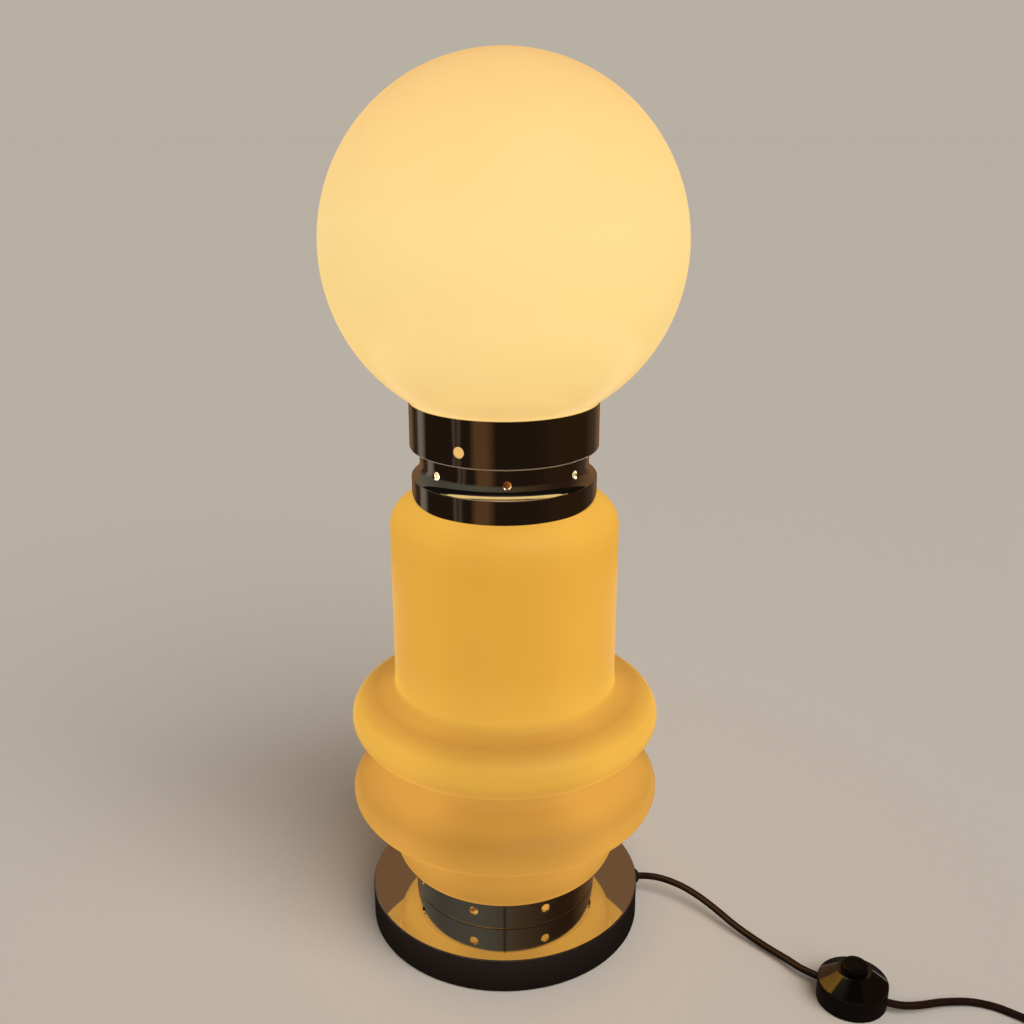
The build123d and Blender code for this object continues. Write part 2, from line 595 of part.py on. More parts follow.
def make_wiring():
    """Grommet, cord clamp, terminal block and leads in the base, all in line with the cord outlet."""
    outwards = Rot(0, 0, CORD_TURN)
    inner_face = sqrt(SHELL_BORE_R ** 2 - GROMMET_LIP_R ** 2) - SLIP
    nose = BASE_R + GROMMET_LIP_T
    bore_r = CORD_R + SLIP
    grommet = turned(
        (bore_r, inner_face - GROMMET_LIP_T, 0), (GROMMET_LIP_R, inner_face - GROMMET_LIP_T, 0),
        (GROMMET_LIP_R, inner_face, 0), (GROMMET_R, inner_face, 0), (GROMMET_R, BASE_R, 0),
        (GROMMET_LIP_R, BASE_R, 0), (GROMMET_LIP_R, nose, GROMMET_EDGE),
        (GROMMET_NOSE_R, nose + GROMMET_NOSE, 0), (bore_r, nose + GROMMET_NOSE, 0))
    keep("cord_grommet", outwards * Pos(0, 0, CORD_Z) * Rot(0, 90, 0) * grommet)

    low = (Align.MAX, Align.CENTER, Align.MIN)
    block = Box(BLOCK_L, BLOCK_W, BLOCK_H, align=low)
    wells = [Pos(-BLOCK_L / 2 + side * BLOCK_POLES, across * BLOCK_W / 4, BLOCK_H)
             * Cylinder(BLOCK_WELL_R, 2 * BLOCK_WELL_DEPTH) for side in (-1, 1) for across in (-1, 1)]
    keep("terminal_block", outwards * Pos(BLOCK_OUT, 0, PLATE_TOP_Z) * (block - wells))

    clamp_h = CORD_Z + CORD_R + CLAMP_OVER - PLATE_TOP_Z
    clamp = Box(CLAMP_L, CLAMP_W, clamp_h, align=(Align.MIN, Align.CENTER, Align.MIN))
    clamp -= Pos(0, 0, CORD_Z - PLATE_TOP_Z) * Rot(0, 90, 0) * Cylinder(bore_r, 4 * CLAMP_L)
    clamp = fillet(clamp.edges().filter_by(Axis.X).group_by(Axis.Z)[-1], CLAMP_OVER)
    keep("cord_clamp", outwards * Pos(BLOCK_OUT + CLAMP_STANDOFF, 0, PLATE_TOP_Z) * clamp)

    inlet_l = cord_start_r() - BLOCK_OUT
    inlet = Cylinder(CORD_R, inlet_l, align=UPRIGHT)
    keep("inlet_lead", outwards * Pos(BLOCK_OUT, 0, CORD_Z) * Rot(0, 90, 0) * inlet)

    riser_top = HOLDER_Z + HOLDER_FLOOR
    route = [(BLOCK_OUT - BLOCK_L, 0, RISER_Z), (0, 0, RISER_Z), (0, 0, riser_top)]
    keep("riser_lead", outwards * tube_along(FilletPolyline(*route, radius=RISER_BEND), RISER_R))


def cord_start_r():
    """Distance from the lamp's axis to the place in the grommet where the outer cord begins."""
    return BASE_R - BASE_WALL / 2


def switch_place(along, z):
    """Point on the line of the switch's cords, at a distance from its middle."""
    turn = radians(SWITCH_TURN)
    return (SWITCH_X + along * cos(turn), SWITCH_Y + along * sin(turn), z)


def make_switch():
    """Foot switch: cover, sole, sprung button with its contact, terminals and screws."""
    place = Pos(SWITCH_X, SWITCH_Y, 0) * Rot(0, 0, SWITCH_TURN)
    bore_r = SWITCH_R - SWITCH_WALL
    button_hole = BUTTON_R + LIFT_GAP
    outside = [(SWITCH_R, SWITCH_LIFT, 0), (SWITCH_R, SWITCH_BAND_H, SWITCH_EDGE),
               (SWITCH_TOP_R, SWITCH_H, SWITCH_EDGE)]
    cover = turned(
        *outside, (button_hole, SWITCH_H, 0),
        (button_hole, SWITCH_INNER_TOP_Z, 0), (SWITCH_TOP_R - SWITCH_WALL / 2, SWITCH_INNER_TOP_Z, 0),
        (bore_r, SWITCH_BAND_H - SWITCH_WALL / 2, 0), (bore_r, SWITCH_LIFT, 0))
    full = turned(*outside, (0, SWITCH_H, 0), (0, SWITCH_LIFT, 0))
    boss = Pos(0, 0, SOLE_T) * Cylinder(BOSS_R, SWITCH_INNER_TOP_Z - SOLE_T, align=UPRIGHT)
    bored = Pos(0, 0, SOLE_T) * Cylinder(PIN_R + SLIP, 2 * (PIN_L + SLIP))
    cover += [full & (Pos(0, side * BOSS_CIRCLE_R, 0) * boss) for side in (-1, 1)]
    cover -= [Pos(0, side * BOSS_CIRCLE_R, 0) * bored for side in (-1, 1)]
    cord_hole = Rot(0, 90, 0) * Cylinder(CORD_R + SLIP, SWITCH_R, align=UPRIGHT)
    cover -= [Rot(0, 0, turn) * Pos(TERMINAL_OUT, 0, SWITCH_CORD_Z) * cord_hole for turn in (0, 180)]
    keep("switch_cover", place * cover)

    head_z = PIN_SINK + PIN_HEAD_H
    sole = turned(
        (0, 0, 0), (bore_r - LIFT_GAP, 0, SOLE_EDGE), (bore_r - LIFT_GAP, SOLE_T, 0),
        (PEDESTAL_R, SOLE_T, 0), (PEDESTAL_R, PEDESTAL_TOP_Z, 0), (POST_R, PEDESTAL_TOP_Z, 0),
        (POST_R, PEDESTAL_TOP_Z + POST_H, SOLE_EDGE), (0, PEDESTAL_TOP_Z + POST_H, 0))
    pin = turned((0, PIN_SINK, 0), (PIN_HEAD_R, PIN_SINK, 0), (PIN_HEAD_R, head_z, 0), (PIN_R, head_z, 0),
                 (PIN_R, PIN_SINK + PIN_L, 0), (0, PIN_SINK + PIN_L, 0))
    recess = Cylinder(PIN_HEAD_R + SLIP, 2 * head_z) + Cylinder(PIN_R + SLIP, 4 * SOLE_T)
    sole -= [Pos(0, side * BOSS_CIRCLE_R, 0) * recess for side in (-1, 1)]
    keep("switch_base", place * sole)
    keep("switch_screws", Compound([place * Pos(0, side * BOSS_CIRCLE_R, 0) * pin for side in (-1, 1)]))

    flange_z = FLANGE_TOP_Z - BUTTON_FLANGE_T
    keep("switch_button", place * turned(
        (0, BUTTON_TOP_Z, 0), (BUTTON_R, BUTTON_TOP_Z, BUTTON_EDGE), (BUTTON_R, FLANGE_TOP_Z, 0),
        (BUTTON_FLANGE_R, FLANGE_TOP_Z, 0), (BUTTON_FLANGE_R, flange_z, 0), (BUTTON_R, flange_z, 0),
        (BUTTON_R, BUTTON_FOOT_Z, 0), (BUTTON_BORE_R, BUTTON_FOOT_Z, 0), (BUTTON_BORE_R, SPRING_TOP_Z, 0),
        (0, SPRING_TOP_Z, 0)))
    contact_z = BUTTON_FOOT_Z - CONTACT_T
    keep("switch_contact", place * sleeve(CONTACT_R, CONTACT_BORE_R, contact_z, BUTTON_FOOT_Z))

    terminal = Box(TERMINAL_OUT - TERMINAL_IN, TERMINAL_W, TERMINAL_TOP_Z - SOLE_T,
                   align=(Align.MIN, Align.CENTER, Align.MIN))
    keep("switch_terminals", Compound([
        place * Rot(0, 0, turn) * Pos(TERMINAL_IN, 0, SOLE_T) * terminal for turn in (0, 180)]))

    low_z = PEDESTAL_TOP_Z + SPRING_END + SPRING_WIRE_R
    rise = (SPRING_TOP_Z - SPRING_END - SPRING_WIRE_R - low_z) / (2 * SPRING_TURNS)
    halves = []
    for half in range(2 * SPRING_TURNS):
        side = 1 if half % 2 == 0 else -1
        start_z = low_z + half * rise
        halves.append(ThreePointArc(
            (side * SPRING_R, 0, start_z), (0, side * hypot(SPRING_R, rise / 2), start_z + rise / 2),
            (-side * SPRING_R, 0, start_z + rise)))
    keep("switch_spring", place * tube_along(Wire(halves), SPRING_WIRE_R))


def route_radii(points):
    """Radius of each bend of a cord: as large as its two runs allow."""
    radii = []
    for before, here, after in zip(points, points[1:], points[2:]):
        run_in = Vector(here) - Vector(before)
        run_out = Vector(after) - Vector(here)
        half_turn = radians(run_in.get_angle(run_out)) / 2
        radii.append(BEND_SHARE * min(run_in.length, run_out.length) / tan(half_turn))
    return radii


def make_cord(name, points):
    """Free stretch of cord along straight runs joined by tangent arcs."""
    radii = route_radii(points)
    path = FilletPolyline(*points, radius=radii)
    cord = tube_along(path, CORD_R)
    section = pi * CORD_R ** 2
    print(name, "length", round(path.length, 1), "volume over section times length",
          round(cord.volume / (section * path.length), 4))
    print(name, "bend radii", [round(radius) for radius in radii])
    keep(name, cord)
    return path.length


def coil_point(x, y, z):
    """Point of the coil's own frame, in which it runs clockwise from +X, put in its place."""
    turn = radians(COIL_TURN)
    return (COIL_X + x * cos(turn) + y * sin(turn), COIL_Y + x * sin(turn) - y * cos(turn), z)


def coil_path():
    """Half turns that spiral in on the floor, climb at the middle one and spiral out again on top."""
    middle = COIL_HALF_TURNS // 2
    x = COIL_OUTER_R
    edges = [Line(coil_point(x, -CORD_D, COIL_Z), coil_point(x, 0, COIL_Z))]
    for half in range(COIL_HALF_TURNS):
        side = 1 if half % 2 == 0 else -1
        radius = COIL_INNER_R + COIL_STEP * abs(half - middle)
        start_z = COIL_Z if half <= middle else COIL_TOP_Z
        end_z = COIL_Z if half < middle else COIL_TOP_Z
        crown = hypot(radius, (end_z - start_z) / 2)
        end_x = x - side * 2 * radius
        edges.append(ThreePointArc(
            coil_point(x, 0, start_z), coil_point((x + end_x) / 2, side * crown, (start_z + end_z) / 2),
            coil_point(end_x, 0, end_z)))
        x = end_x
    bend = radians(TAIL_TURN)
    tail = [(x - TAIL_R * (1 - cos(turn)), -TAIL_R * sin(turn)) for turn in (0, bend / 2, bend)]
    edges.append(ThreePointArc(*[coil_point(along, across, COIL_TOP_Z) for along, across in tail]))
    end_x, end_y = plug_start()
    edges.append(Line(edges[-1] @ 1, coil_point(end_x, end_y, COIL_TOP_Z)))
    return edges


def plug_start():
    """Place in the coil's own frame where the cord goes into the plug."""
    bend = radians(TAIL_TURN)
    x = -COIL_OUTER_R - TAIL_R * (1 - cos(bend)) - CORD_D * sin(bend)
    return x, -TAIL_R * sin(bend) - CORD_D * cos(bend)


def print_coil_gap(edges, per_edge=24):
    """Least gap of the coil to itself, measured between points at least half a turn apart."""
    points = [edge @ (i / per_edge) for edge in edges[1:-2] for i in range(per_edge)]
    least = min((points[i] - points[j]).length
                for i in range(len(points)) for j in range(i + per_edge, len(points)))
    print("cord_coil least gap to itself", round(least - CORD_D, 2))


def make_coil():
    """Coil of spare cord, the tie round it, and the plug at its end."""
    edges = coil_path()
    path = Wire(edges)
    coil = tube_along(path, CORD_R)
    print_coil_gap(edges)
    print("cord_coil length", round(path.length, 1))
    keep("cord_coil", coil)

    near = COIL_INNER_R + COIL_STEP - CORD_R
    sag = near - sqrt(near ** 2 - TIE_W ** 2)
    inner_y = near - sag - TIE_SLACK
    outer_y = COIL_OUTER_R - COIL_STEP + CORD_R + TIE_SLACK
    top_z = COIL_TOP_Z + CORD_R + TIE_SLACK
    hole = Pos(0, 0, TIE_T) * Box(2 * TIE_W, outer_y - inner_y, top_z - TIE_T,
                                  align=(Align.CENTER, Align.MIN, Align.MIN))
    band = Pos(0, -TIE_T, 0) * Box(TIE_W, outer_y - inner_y + 2 * TIE_T, top_z + TIE_T,
                                   align=(Align.CENTER, Align.MIN, Align.MIN))
    band = fillet(band.edges().filter_by(Axis.X), TIE_T)
    place = Pos(COIL_X, COIL_Y, 0) * Rot(0, 0, COIL_TURN)
    keep("cord_tie", place * Pos(0, inner_y, 0) * (band - hole))

    neck_l = PLUG_L - PLUG_HEAD_L
    outline = Polyline((0, PLUG_TAIL_W / 2), (neck_l, PLUG_HEAD_W / 2), (PLUG_L, PLUG_HEAD_W / 2),
                       (PLUG_L, -PLUG_HEAD_W / 2), (neck_l, -PLUG_HEAD_W / 2), (0, -PLUG_TAIL_W / 2),
                       close=True)
    body = extrude(make_face(outline), 2 * COIL_TOP_Z)
    body = fillet(body.edges().filter_by(Axis.Z), PLUG_EDGE)
    body = fillet(body.edges().group_by(Axis.Z)[-1], PLUG_EDGE)
    body = fillet(body.edges().group_by(Axis.Z)[0], PLUG_EDGE)
    tail_x, tail_y = plug_start()
    heading = place * Pos(tail_x, -tail_y, 0) * Rot(0, 0, 90 + TAIL_TURN)
    keep("plug_body", heading * body)
    pin = Rot(0, 90, 0) * Cylinder(PLUG_PIN_R, PLUG_PIN_L, align=UPRIGHT)
    pin = fillet(pin.edges().group_by(Axis.X)[-1], PLUG_PIN_R / 2)
    keep("plug_pins", Compound([
        heading * Pos(PLUG_L, side * PLUG_PIN_SPAN / 2, COIL_TOP_Z) * pin for side in (-1, 1)]))
    return path.length


def make_cords():
    """The two free stretches: base to switch, and switch to coil."""
    turn = radians(CORD_TURN)
    out = cord_start_r()
    lamp_route = [
        (out * cos(turn), out * sin(turn), CORD_Z),
        ((out + OUTLET_RUN) * cos(turn), (out + OUTLET_RUN) * sin(turn), CORD_Z),
        (140.0, 3.5, 15.0),
        (155.0, -8.5, 12.8),
        (168.5, -23.5, 10.0),
        (182.5, -42.0, 7.0),
        (200.5, -61.5, 4.9),
        (214.5, -77.0, 5.4),
        switch_place(-TERMINAL_OUT - SWITCH_RUN, SWITCH_CORD_Z),
        switch_place(-TERMINAL_OUT, SWITCH_CORD_Z),
    ]
    plug_route = [
        switch_place(TERMINAL_OUT, SWITCH_CORD_Z),
        switch_place(TERMINAL_OUT + SWITCH_EXIT_RUN, SWITCH_CORD_Z),
        (288.8, -131.2, 7.7),
        (300.0, -129.8, 6.6),
        (313.0, -121.7, 5.2),
        (325.1, -119.9, 3.8),
        (337.5, -119.0, 3.0),
        (348.0, -121.2, 2.8),
        (358.2, -125.7, 2.8),
        (368.9, -133.7, 2.8),
        (379.0, -141.0, 3.0),
        coil_point(COIL_OUTER_R, -CORD_D - COIL_RUN, COIL_Z),
        coil_point(COIL_OUTER_R, -CORD_D, COIL_Z),
    ]
    length = make_cord("lamp_cord", lamp_route) + make_cord("plug_cord", plug_route)
    return length + 2 * TERMINAL_OUT


def main():
    make_base()
    make_stem()
    make_vent_ring()
    make_body_glass()
    make_waist()
    make_globe()
    make_globe_lamp()
    make_body_lamps()
    make_wiring()
    make_switch()
    cord_length = make_cords() + make_coil()
    print("cord from the base to the plug", round(cord_length, 0))
    print("nodes", len(NODES))
    os.makedirs("parts", exist_ok=True)
    for name, shape in NODES.items():
        export_step(shape, f"parts/{name}.step")


main()
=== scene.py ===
"""Looks of the opal glass table lamp: lit glass, chrome, foot switch, cord, coil, plug and studio."""
from math import cos, pi, radians, sin

import bpy
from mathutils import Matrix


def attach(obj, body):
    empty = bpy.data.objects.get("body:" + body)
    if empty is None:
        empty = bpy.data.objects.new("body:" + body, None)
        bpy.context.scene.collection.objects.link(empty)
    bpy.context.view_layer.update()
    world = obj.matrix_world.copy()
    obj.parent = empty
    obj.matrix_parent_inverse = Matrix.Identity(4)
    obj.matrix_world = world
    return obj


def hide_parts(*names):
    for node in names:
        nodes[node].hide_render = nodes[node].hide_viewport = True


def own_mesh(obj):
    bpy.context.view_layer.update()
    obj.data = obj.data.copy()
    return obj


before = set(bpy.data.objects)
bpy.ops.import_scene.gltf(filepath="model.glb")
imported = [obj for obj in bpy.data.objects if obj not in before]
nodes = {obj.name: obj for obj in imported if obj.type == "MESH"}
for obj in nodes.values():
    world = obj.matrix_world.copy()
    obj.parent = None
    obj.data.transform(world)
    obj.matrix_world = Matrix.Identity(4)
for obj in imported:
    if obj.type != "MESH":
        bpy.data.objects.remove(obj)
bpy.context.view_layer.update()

# Body that carries everything except the globe and the push button
LAMP = "lamp_body"

# Glass, heights in metres
GLOBE_LOW = 0.393
GLOBE_TOP = 0.655
BODY_LOW = 0.0486
BODY_TOP = 0.3508
BULB_NECK = 0.446
BULB_BELLY = 0.500
BODY_LAMPS = 3
INWARD = -0.002            # faces of the body whose normal leans further in than this look at the lamps
# Painted glow of the body's lamps through the glass: painted light on the shoulders and the foot of the
# cylinder, painted shade in the hollows
AMBER = "#E6A84A"          # step and bulges
AMBER_CLEAR = "#EAAC3D"    # cylinder
AMBER_GLOW_LIT = "#F1B74A"   # shoulders and the foot of the cylinder
AMBER_GLOW_SHADED = "#CE933F"     # hollows
# Share of the painted glow left midway between two lamps, a painted shade; darkest in the hollow between
# the bulges
LEFT_BULGE = "#E6E6E6"
LEFT_HOLLOW = "#D2D2D2"
LEFT_CYLINDER = "#F2F2F2"

# Metal
CHROME = "#ECECEA"
SEAM_CORE = 0.0002         # half width of the band's butt seam
SEAM_EDGE = 0.0018         # half width of the zone that is buffed round it
BASE_R = 0.106

# Cord
CORD_D = 0.0054
CORD_SIDES = 6             # bevel resolution
CORD_STEPS = 8             # spline resolution
LAMP_ROUTE = [
    (0.104624, 0.010996, 0.0160),
    (0.119541, 0.012564, 0.0160),
    (0.140000, 0.003500, 0.0150),
    (0.155000, -0.008500, 0.0128),
    (0.168500, -0.023500, 0.0100),
    (0.182500, -0.042000, 0.0070),
    (0.200500, -0.061500, 0.0049),
    (0.214500, -0.077000, 0.0054),
    (0.223808, -0.092793, 0.0080),
    (0.235549, -0.100418, 0.0080),
]
MAINS_ROUTE = [
    (0.272451, -0.124382, 0.0080),
    (0.278900, -0.126900, 0.0080),
    (0.287000, -0.128600, 0.0077),
    (0.296000, -0.127400, 0.0069),
    (0.304000, -0.125300, 0.0060),
    (0.314500, -0.122000, 0.0049),
    (0.325500, -0.119800, 0.0037),
    (0.337500, -0.119000, 0.0030),
    (0.348000, -0.121200, 0.0028),
    (0.358200, -0.125700, 0.0028),
    (0.368900, -0.133700, 0.0028),
    (0.379000, -0.141000, 0.0030),
    (0.389733, -0.148761, 0.0036),
]

# Coil of the put-away length, which in its own frame runs clockwise from +X
COIL_X = 0.3775
COIL_Y = -0.1955
COIL_TURN = radians(45)
COIL_HALF_TURNS = 13
COIL_INNER_R = 0.0234
COIL_STEP = 0.00305
COIL_OUTER_R = 0.0417
COIL_Z = 0.0036
COIL_TOP_Z = 0.0096
COIL_POINTS = 8            # in each half turn
TAIL_R = 0.030
TAIL_TURN = radians(50)
TAIL_POINTS = 2

# Plug beside the coil
PLUG_X = 0.318806
PLUG_Y = -0.216785
PLUG_Z = 0.0096
PLUG_TURN = radians(185)
PLUG_L = 0.040
SLEEVE_L = 0.010           # moulded sleeve on each pin
SLEEVE_EDGE = 0.0002
BOOT_FLARE = (1.1, 1.35, 1.7, 2.2)     # times the cord's radius, towards the plug

# Tie round the coil, measured from the coil's middle
TIE_NEAR = 0.02136
TIE_FAR = 0.04235
TIE_W = 0.008
TIE_T = 0.0008
TIE_TOP = 0.0133
TIE_FOOT = [(0.003, TIE_T / 2), (0.0008, 0.0012), (0.0, 0.0035)]       # inset and height
TIE_SHOULDER = [(0.0, 0.0040), (0.0010, 0.0012), (0.0034, 0.0)]        # inset and drop from the top

# Foot switch
SWITCH_X = 0.254
SWITCH_Y = -0.1124
SPRING_R = 0.0046
SPRING_WIRE_R = 0.0007
SPRING_LOW = 0.0109
SPRING_HIGH = 0.0247
SPRING_TURNS = 7
SPRING_SIDES = 10

# Thread for a shade ring, round the upper lampholder
THREAD_R = 0.0195
THREAD_RIDGE = 0.0009
THREAD_LOW = 0.4165
THREAD_HIGH = 0.4441
THREAD_TURNS = 12
THREAD_SIDES = 6
WIND_STEPS = 32            # in each turn of the spring and the thread
WIND_MERGE = 0.00001

# Cards that chrome and gloss reflect
CARD_SIDES = 96
WALL_R = 0.75
WALL_H = 0.80
WALL_Z = 0.41
LOW_CARDS_TOP = 0.28
HIGH_CARDS_FOOT = 0.42
MAT_R = 0.50
MAT_Z = 0.0003
LID_R = 1.0
LID_Z = 0.82
FLOOR_SIZE = 60.0

# Light
KEY_ENERGY = 2.6
KEY_SPREAD = radians(50)
KEY_TURN = (radians(42), 0, radians(35))
KEY_COLOUR = (1.0, 0.97, 0.93)
SPILL_ENERGY = 0.07
SPILL_SIZE = 0.008
SPILL_COLOUR = (1.0, 0.80, 0.50)
SPILL_TURNS = (90, 210, 330)
SPILL_R = 0.040
SPILL_Z = 0.374

# Camera of the photograph
CAMERA_PLACE = (0.0055, -0.8133, 0.6194)
CAMERA_DOWN = radians(19.066)
CAMERA_LENS = 41.48
CAMERA_SENSOR = 36.0


def linear(hex_colour):
    """Linear red, green, blue and alpha of an sRGB hex colour."""
    shares = [int(hex_colour[i:i + 2], 16) / 255 for i in (1, 3, 5)]
    return [s / 12.92 if s <= 0.04045 else ((s + 0.055) / 1.055) ** 2.4 for s in shares] + [1.0]


def add_node(tree, kind, settings=None, values=None, links=None, stops=None):
    """Add a node with its settings, socket values, links from other outputs, and colour stops."""
    node = tree.nodes.new("ShaderNode" + kind)
    for key, value in (settings or {}).items():
        setattr(node, key, value)
    for key, value in (values or {}).items():
        node.inputs[key].default_value = value
    for key, output in (links or {}).items():
        tree.links.new(output, node.inputs[key])
    if stops:
        elements = node.color_ramp.elements
        elements.remove(elements[1])
        elements[0].position = stops[0][0]
        elements[0].color = linear(stops[0][1])
        for position, colour in stops[1:]:
            elements.new(position).color = linear(colour)
    return node


def new_finish(name, colour, roughness, values=None):
    """Material with a principled shader; what is the same all over is set on the shader's own sockets."""
    material = bpy.data.materials.new(name)
    material.use_nodes = True
    tree = material.node_tree
    shader = tree.nodes["Principled BSDF"]
    shader.inputs["Base Color"].default_value = linear(colour)
    shader.inputs["Roughness"].default_value = roughness
    for socket, value in (values or {}).items():
        shader.inputs[socket].default_value = value
    return material, tree, shader


def opal_globe():
    """Cased opal glass, blown and fire-polished: an even warm glow from the lamp inside, under a gloss."""
    material, tree, shader = new_finish(
        "opal_glass_globe", "#796841", 0.22, {"Specular IOR Level": 0.25, "Emission Strength": 0.86})
    place = add_node(tree, "TexCoord")
    axes = add_node(tree, "SeparateXYZ", links={0: place.outputs["Object"]})
    height = add_node(tree, "MapRange", values={"From Min": GLOBE_LOW, "From Max": GLOBE_TOP},
                      links={0: axes.outputs["Z"]})
    # Painted glow of the lamp inside the glass, dimmer at the neck and towards the top
    glow = add_node(tree, "ValToRGB", links={0: height.outputs[0]}, stops=[
        (0.00, "#EDBB6C"), (0.12, "#F8CE82"), (0.30, "#FFDB8E"), (0.60, "#FFDE93"), (0.85, "#FDD187"),
        (1.00, "#F3C37B")])
    # Streaks of blown glass, about 60 mm apart, change the glow by a few percent
    cloud = add_node(tree, "TexNoise", values={"Scale": 16.0, "Detail": 2.0},
                     links={0: place.outputs["Object"]})
    shade = add_node(tree, "MapRange", values={"To Min": 0.96, "To Max": 1.03},
                     links={0: cloud.outputs[0]})
    lit = add_node(tree, "VectorMath", {"operation": "SCALE"},
                   links={0: glow.outputs[0], 3: shade.outputs[0]})
    tree.links.new(lit.outputs[0], shader.inputs["Emission Color"])
    # Fire polish leaves a long, slow waviness
    wave = add_node(tree, "Bump", values={"Strength": 0.06, "Distance": 0.002},
                    links={"Height": cloud.outputs[0]})
    tree.links.new(wave.outputs[0], shader.inputs["Normal"])
    return material


def opal_body():
    """Amber-tinted opal glass blown in a mould: deeper amber than the globe, with the lamps' glow painted
    in, as painted light on the shoulders of its bulges and painted shade in its hollows and midway between
    two lamps."""
    material, tree, shader = new_finish(
        "opal_glass_body", "#70521E", 0.30, {"Specular IOR Level": 0.20, "Emission Strength": 0.82})
    place = add_node(tree, "TexCoord")
    axes = add_node(tree, "SeparateXYZ", links={0: place.outputs["Object"]})
    height = add_node(tree, "MapRange", values={"From Min": BODY_LOW, "From Max": BODY_TOP},
                      links={0: axes.outputs["Z"]})
    # Painted glow by height, from the foot up: step, lower bulge, hollow, upper bulge and its shoulder,
    # hollow, cylinder, top
    by_lamp = add_node(tree, "ValToRGB", links={0: height.outputs[0]}, stops=[
        (0.02, AMBER), (0.045, AMBER_GLOW_SHADED), (0.13, AMBER), (0.21, AMBER), (0.265, AMBER_GLOW_SHADED),
        (0.31, AMBER), (0.39, AMBER), (0.43, AMBER_GLOW_LIT), (0.47, AMBER_GLOW_LIT), (0.50, AMBER_GLOW_SHADED),
        (0.53, AMBER_GLOW_LIT), (0.65, AMBER_CLEAR), (0.90, AMBER_CLEAR), (1.00, AMBER_GLOW_LIT)])
    # Painted shade midway between two lamps, as the share of the glow left there: least between the bulges,
    # most in the cylinder
    left = add_node(tree, "ValToRGB", links={0: height.outputs[0]}, stops=[
        (0.20, LEFT_BULGE), (0.275, LEFT_HOLLOW), (0.32, LEFT_BULGE), (0.50, LEFT_BULGE),
        (0.54, LEFT_CYLINDER)])
    # The lamps stand 60, 180 and 300 degrees from the front, so the glow swings three times round the body
    ahead = add_node(tree, "Math", {"operation": "MULTIPLY"}, {1: -1.0}, {0: axes.outputs["Y"]})
    angle = add_node(tree, "Math", {"operation": "ARCTAN2"},
                     links={0: axes.outputs["X"], 1: ahead.outputs[0]})
    turns = add_node(tree, "Math", {"operation": "MULTIPLY"}, {1: BODY_LAMPS}, {0: angle.outputs[0]})
    swing = add_node(tree, "Math", {"operation": "COSINE"}, links={0: turns.outputs[0]})
    away = add_node(tree, "MapRange", {"interpolation_type": "SMOOTHSTEP"},
                    {"From Min": -0.6, "From Max": 1.0}, {0: swing.outputs[0]})
    glow = add_node(tree, "Mix", {"data_type": "RGBA", "blend_type": "MULTIPLY"},
                    links={0: away.outputs[0], 6: by_lamp.outputs[0], 7: left.outputs[0]})
    # Colour gathers unevenly in blown glass, in clouds about 50 mm across
    cloud = add_node(tree, "TexNoise", values={"Scale": 20.0, "Detail": 2.0},
                     links={0: place.outputs["Object"]})
    shade = add_node(tree, "MapRange", values={"To Min": 0.96, "To Max": 1.04},
                     links={0: cloud.outputs[0]})
    lit = add_node(tree, "VectorMath", {"operation": "SCALE"},
                   links={0: glow.outputs[2], 3: shade.outputs[0]})
    # The inside face looks at the lamps, so it is paler and brighter than the outside
    flat = add_node(tree, "CombineXYZ", links={"X": axes.outputs["X"], "Y": axes.outputs["Y"]})
    face = add_node(tree, "NewGeometry")
    outward = add_node(tree, "VectorMath", {"operation": "DOT_PRODUCT"},
                       links={0: face.outputs["True Normal"], 1: flat.outputs[0]})
    inside = add_node(tree, "Math", {"operation": "LESS_THAN"}, {1: INWARD},
                      {0: outward.outputs["Value"]})
    inner = add_node(tree, "ValToRGB", links={0: height.outputs[0]}, stops=[
        (0.0, "#E9A448"), (0.4, "#F2B458"), (1.0, "#FFE2A0")])
    both = add_node(tree, "Mix", {"data_type": "RGBA"},
                    links={0: inside.outputs[0], 6: lit.outputs[0], 7: inner.outputs[0]})
    tree.links.new(both.outputs[2], shader.inputs["Emission Color"])
    wave = add_node(tree, "Bump", values={"Strength": 0.08, "Distance": 0.002},
                    links={"Height": cloud.outputs[0]})
    tree.links.new(wave.outputs[0], shader.inputs["Normal"])
    return material


